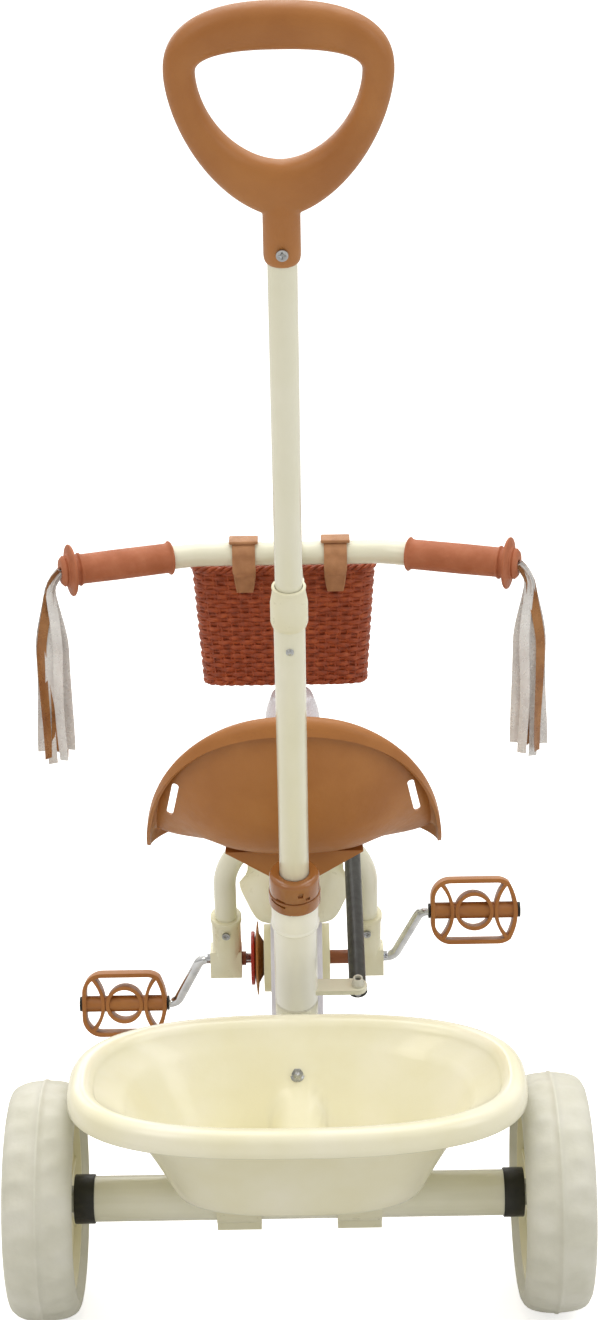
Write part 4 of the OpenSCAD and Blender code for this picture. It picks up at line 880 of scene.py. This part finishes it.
def mudguard():
    """A moulded arch over the wheel, with rolled sides, rounded ends and a stiffening ridge."""
    rows, columns, corner = 96, 40, 9
    rings = []
    for k in range(rows + 1):
        angle = 42 + 100 * k / rows
        half = guard_half(angle)
        close = min(angle - 42, 142 - angle) * pi / 180 * GUARD_R
        if close < corner:
            half -= corner - sqrt(corner * corner - (corner - close) ** 2)
        ring = []
        for i in range(columns + 1):
            share = 2 * i / columns - 1
            across = abs(share)
            drop = 15 * smooth_step((across - 0.42) / 0.58) ** 1.5 + 1.0 * across ** 2 + 0.5 * (across < 0.06)
            radius = GUARD_R - 0.5 - drop
            ring.append((half * share, radius * cos(radians(angle)), radius * sin(radians(angle))))
        rings.append(ring)
    piece = skinned("guard_arch", rings, capped=False, around=False)
    alone(piece)
    top = max(piece.data.polygons, key=lambda face: face.center.z)
    if top.normal.z < 0:
        piece.data.flip_normals()
    shaped(piece, "SOLIDIFY", thickness=GUARD_WALL * MM, offset=-1)
    shaped(piece, "BEVEL", width=0.8 * MM, segments=3, limit_method="ANGLE", angle_limit=radians(60))
    finished(placed(piece, AT_FRONT), "steering", CREAM_POLYETHYLENE, "cream_plastic", "mudguard", angle=45)


mudguard()


def grips():
    """Rubber grips: a plain barrel with a rolled inner end, a hand stop and a ringed knob."""
    long = 104
    for side in (-1, 1):
        tag = "right" if side > 0 else "left"
        barrel = [(11, KNOB - long), (14.6, KNOB - long), *arc(14.8, KNOB - long + 1.4, 0.9, -60, 60, 5),
                  (14.1, KNOB - long + 3.2), (13.7, KNOB - long + 6), (13.9, KNOB - long / 2), (13.6, -13.4),
                  *arc(14, -10.4, 1.3, -70, 70, 5), (13.8, -7.4), (14.4, -5.4), (17, -4.4), (22.4, -4),
                  *arc(22.5, -2.5, 1.2, -60, 60, 5), (17, -0.8), (15.2, 0.2), *arc(14.2, 1.2, 0.8, -30, 60, 3),
                  (13.3, 2.5), *arc(13.2, 4, 0.9, -60, 60, 4), (12.6, KNOB - 1.2), (11.4, KNOB - 0.1), (4.4, KNOB),
                  (4, KNOB - 0.6), (4, 0.6), (11, 0.6)]
        piece = placed(turned(f"rubber_grip_{tag}", barrel, 80), at_tip(side))
        finished(piece, "steering", TERRACOTTA_RUBBER, "terracotta_grip", f"grip_{tag}", angle=45)


grips()

# ------------------------------------------------------------------ woven basket and its straps

BASKET_HW, BASKET_D, BASKET_H, BASKET_TOP, BASKET_ASIDE = 86, 92, 118, -17, 6
BASKET_BACK, BASKET_LOW_IN, BASKET_WALL = 18, 8, 4
STAKES, ROWS = 44, 25


def basket_outline(height, inset, count):
    """An even walk round the basket's outline; height is 0 at its floor and 1 at its rim."""
    hw = BASKET_HW - 8.5 * (1 - height) - inset
    depth = (BASKET_D - (BASKET_LOW_IN + 8) * (1 - height)) / 2 - inset
    back = BASKET_BACK + BASKET_LOW_IN * (1 - height) + inset
    z = BASKET_TOP - BASKET_H * (1 - height)
    ring = oval(hw, depth, z, back + depth, 7, 720)
    points = [Vector(point) for point in ring + ring[:1]]
    lengths = [0.0]
    for a, b in zip(points, points[1:]):
        lengths.append(lengths[-1] + (b - a).length)
    walk, k = [], 0
    for i in range(count):
        goal = lengths[-1] * i / count
        while lengths[k + 1] < goal:
            k += 1
        share = (goal - lengths[k]) / (lengths[k + 1] - lengths[k])
        walk.append(points[k].lerp(points[k + 1], share))
    return walk


def outward_of(walk, i):
    step = walk[(i + 1) % len(walk)] - walk[i - 1]
    return Vector((step.y, -step.x, 0)).normalized()


def strand(name, points, wide, thick, closed, sides=6, faces_out=None):
    """A cane along a route of points in mm, flattened square to faces_out, with a UV along it."""
    rings, last = [], len(points) - 1
    for k, point in enumerate(points):
        before = points[k - 1] if closed or k else points[0]
        after = points[(k + 1) % len(points)] if closed or k < last else points[last]
        along = (after - before).normalized()
        out = faces_out[k] if faces_out else Vector((0, 1, 0))
        out = (out - along * out.dot(along)).normalized()
        up = along.cross(out)
        rings.append([point + up * wide / 2 * cos(2 * pi * j / sides) + out * thick / 2 * sin(2 * pi * j / sides)
                      for j in range(sides)])
    piece = skinned(name, rings, closed=closed)
    layer = piece.data.uv_layers.new(name="strand")
    for loop in piece.data.loops:
        ring, side = divmod(loop.vertex_index, sides)
        layer.data[loop.index].uv = (side / sides, ring * 3.0)
    return outward_uv(piece)


def outward_uv(piece):
    alone(piece)
    ops.object.mode_set(mode="EDIT")
    ops.mesh.select_all(action="SELECT")
    ops.mesh.normals_make_consistent(inside=False)
    ops.object.mode_set(mode="OBJECT")
    return piece


def joined(name, pieces):
    deselect()
    for piece in pieces:
        piece.select_set(True)
    bpy.context.view_layer.objects.active = pieces[0]
    ops.object.join()
    pieces[0].name = pieces[0].data.name = name
    return pieces[0]


def basket():
    """Rows of cane woven in and out round upright stakes, under a twisted border."""
    steps, weave = STAKES * 6, 1.2
    canes = []
    for row in range(ROWS):
        height = (row + 0.6) / (ROWS + 1.1)
        walk = basket_outline(height, BASKET_WALL / 2, steps)
        phase = pi * (row % 2)
        points, outs = [], []
        for i, point in enumerate(walk):
            out = outward_of(walk, i)
            beat = pi * STAKES * i / steps + phase
            slack = 0.35 * sin(2.1 * i / steps * 2 * pi + row * 1.9)
            points.append(point + out * weave * sin(beat) + Vector((0, 0, slack + 0.25 * sin(i * 0.9 + row))))
            outs.append(out)
        canes.append(strand("cane", points, 4.7, 3.0, True, 8, outs))
    levels = [k / 10 for k in range(11)]
    rings = [basket_outline(level, BASKET_WALL / 2, STAKES) for level in levels]
    for i in range(STAKES):
        points = [ring[i] + Vector((0, 0, 0.5)) for ring in rings]
        out = outward_of(rings[0], i)
        for stake_side in (-1, 1):
            aside = Vector((-out.y, out.x, 0)) * 1.5 * stake_side
            canes.append(strand("stake", [p + aside for p in points], 2.5, 2.5, False, 6, [out] * len(points)))
    for twist in range(3):
        walk = basket_outline(1, BASKET_WALL / 2, steps)
        points, outs = [], []
        for i, point in enumerate(walk):
            out = outward_of(walk, i)
            turn = 2 * pi * (i * STAKES / 2 / steps + twist / 3)
            points.append(point + out * 2.2 * cos(turn) + Vector((0, 0, 2.0 * sin(turn) - 3.2)))
            outs.append(out)
        canes.append(strand("border", points, 3.4, 3.4, True, 8, outs))
    for foot in range(2):
        walk = basket_outline(0, BASKET_WALL / 2, steps)
        points, outs = [], []
        for i, point in enumerate(walk):
            out = outward_of(walk, i)
            turn = 2 * pi * (i * STAKES / 2 / steps + foot / 2)
            points.append(point + out * 1.5 * cos(turn) + Vector((0, 0, 1.5 * sin(turn) + 2.6)))
            outs.append(out)
        canes.append(strand("foot", points, 2.9, 2.9, True, 7, outs))
    low = basket_outline(0, BASKET_WALL, 720)
    low_y, high_y = min(p.y for p in low), max(p.y for p in low)
    base_z = low[0].z + 2.6
    runs = 11
    for run in range(runs):
        y = low_y + (high_y - low_y) * (run + 0.5) / runs
        reach = max(abs(p.x) for p in low if abs(p.y - y) < 3)
        points = [Vector((-reach + 2 * reach * k / 60, y, base_z + 1.1 * sin(pi * 14 * k / 60 + pi * run)))
                  for k in range(61)]
        canes.append(strand("floor_cane", points, 2.4, 4.6, False, 6, [Vector((0, 0, 1))] * 61))
    for post in range(15):
        x = -70 + 10 * post
        inner = [p.y for p in low if abs(p.x - x) < 4]
        points = [Vector((x, y, base_z)) for y in (min(inner), (min(inner) + max(inner)) / 2, max(inner))]
        canes.append(strand("floor_stake", points, 2.6, 2.2, False, 6, [Vector((0, 0, 1))] * 3))
    piece = placed(joined("woven_basket", canes), AT_BAR @ Matrix.Translation((-BASKET_ASIDE * MM, 0, 0)))
    finished(piece, "carrier", CANE, "wicker", "basket", angle=60)


basket()

STRAP_X, STRAP_W, STRAP_T = 42, 21, 2.4


def straps():
    """Each strap hugs the bar, runs into the basket's back and carries a keeper, with stitched edges."""
    bar_r = 11
    loop_r = bar_r + 0.3 + STRAP_T / 2
    for side in (-1, 1):
        tag = "right" if side > 0 else "left"
        around = [Vector((0, loop_r * cos(radians(a)), loop_r * sin(radians(a)))) for a in range(-28, 189, 12)]
        front = [Vector((0, BASKET_BACK - 1.6, -41)), Vector((0, BASKET_BACK - 1.8, -26)),
                 Vector((0, BASKET_BACK - 2.4, -15)), Vector((0, BASKET_BACK - 4.2, -9.5))]
        tail = [Vector((0, -13.3, -8)), Vector((0, -13.6, -11.5)), Vector((0, -13.2, -15)), Vector((0, -12.4, -18.5))]
        route = front + around + tail
        points = []
        for a, b in zip(route, route[1:]):
            points += [a.lerp(b, share) for share in (0, 0.5)]
        points.append(route[-1])
        rings, last = [], len(points) - 1
        half_w, half_t = STRAP_W / 2, STRAP_T / 2
        for k, point in enumerate(points):
            along = (points[min(k + 1, last)] - points[max(k - 1, 0)]).normalized()
            face = Vector((1, 0, 0)).cross(along)
            close = min(k, last - k)
            taper = 1 - 0.28 * max(0, 1 - close / 3) ** 2
            section = [(-1, 0.2), (-0.93, 0.85), (-0.8, 1), (-0.72, 0.86), (-0.66, 1), (0, 1.06), (0.66, 1),
                       (0.72, 0.86), (0.8, 1), (0.93, 0.85), (1, 0.2), (1, -0.5), (0.9, -1), (-0.9, -1), (-1, -0.5)]
            rings.append([point + Vector((side * STRAP_X, 0, 0)) + Vector((1, 0, 0)) * half_w * taper * u
                          + face * half_t * v for u, v in section])
        piece = outward(skinned(f"strap_{tag}", rings))
        finished(placed(piece, AT_BAR), "carrier", LEATHER, "strap_leather", "basket_straps", angle=45)
        keeper(side, tag, loop_r)
        stitches(side, tag, points)


def keeper(side, tag, loop_r):
    """A loop of leather over the strap's top."""
    deselect()
    ops.mesh.primitive_cube_add(size=1)
    piece = bpy.context.object
    piece.name = f"strap_keeper_{tag}"
    tilt = Matrix.Rotation(radians(12), 4, "X")
    piece.data.transform(Matrix.Translation(Vector((side * STRAP_X, -1, 0)) * MM) @ tilt
                         @ Matrix.Translation(Vector((0, 0, loop_r + 1.6)) * MM)
                         @ Matrix.Diagonal((26.5 * MM, 14 * MM, 3.2 * MM, 1)))
    shaped(piece, "BEVEL", width=1.1 * MM, segments=4, limit_method="ANGLE", angle_limit=radians(60))
    finished(placed(piece, AT_BAR), "carrier", LEATHER, "strap_leather", angle=40)


def stitches(side, tag, points):
    """Waxed thread along both edges of a strap, 3.2 mm a stitch."""
    pieces = []
    for k in range(10, len(points) - 8, 2):
        along = (points[k + 1] - points[k]).normalized()
        face = Vector((1, 0, 0)).cross(along)
        for edge in (-1, 1):
            middle = points[k] + Vector((side * STRAP_X + edge * STRAP_W / 2 * 0.76, 0, 0)) + face * (STRAP_T / 2 + 0.05)
            route = [middle + along * 1.15 * t + face * 0.28 * (1 - t * t) for t in (-1, -0.5, 0, 0.5, 1)]
            pieces.append(strand("stitch", route, 0.6, 0.6, False, 6, [face] * 5))
    piece = placed(joined(f"strap_stitching_{tag}", pieces), AT_BAR)
    finished(piece, "carrier", THREAD, "strap_leather", angle=60)


# Waxed polyester thread: pale, slightly shiny
THREAD = moulded("waxed_thread", ["#c9b18f", "#d6c2a2", "#e0d0b4"], (0.4, 0.55), 0.4, 0.05)
straps()

# ------------------------------------------------------------------ the rest of the frame, refined

FINISHES = {
    "cream_steel": (CREAM_STEEL, 0, "axle_tube backbone head_tube column_post seat_post steering_lever"
                    " fork stem handlebar"),
    "nylon": (NATURAL_NYLON, 0, "head_bushes column_bushes crank_bushes link_clips"),
    "zinc_steel": (ZINC, 0, "post_screw seat_bolts axle_rod axle_fasteners bucket_bolts link_rod height_button"
                   " handle_screw fork_fasteners"),
    "chrome_steel": (CHROME, 0, "crank"),
    "black_plastic": (BLACK_POLYETHYLENE, 0.6, "axle_caps pedal_stops"),
    "tan_plastic": (TAN_POLYPROPYLENE, 0.9, "clutch_ring pedal_left pedal_right"),
    "cream_plastic": (CREAM_POLYETHYLENE, 0.8, "bearing_block_left bearing_block_right"),
    "black_sleeve": (BLACK_VINYL, 0, "link_sleeve"),
    "red_plastic": (RED_ABS, 0.6, "clutch_disc"),
    "brown_plastic": (BROWN_NYLON, 0.3, "crank_spacers"),
}
for slot_name, (material, bevel, nodes) in FINISHES.items():
    for node in nodes.split():
        refined(node, bevel, material, slot_name)
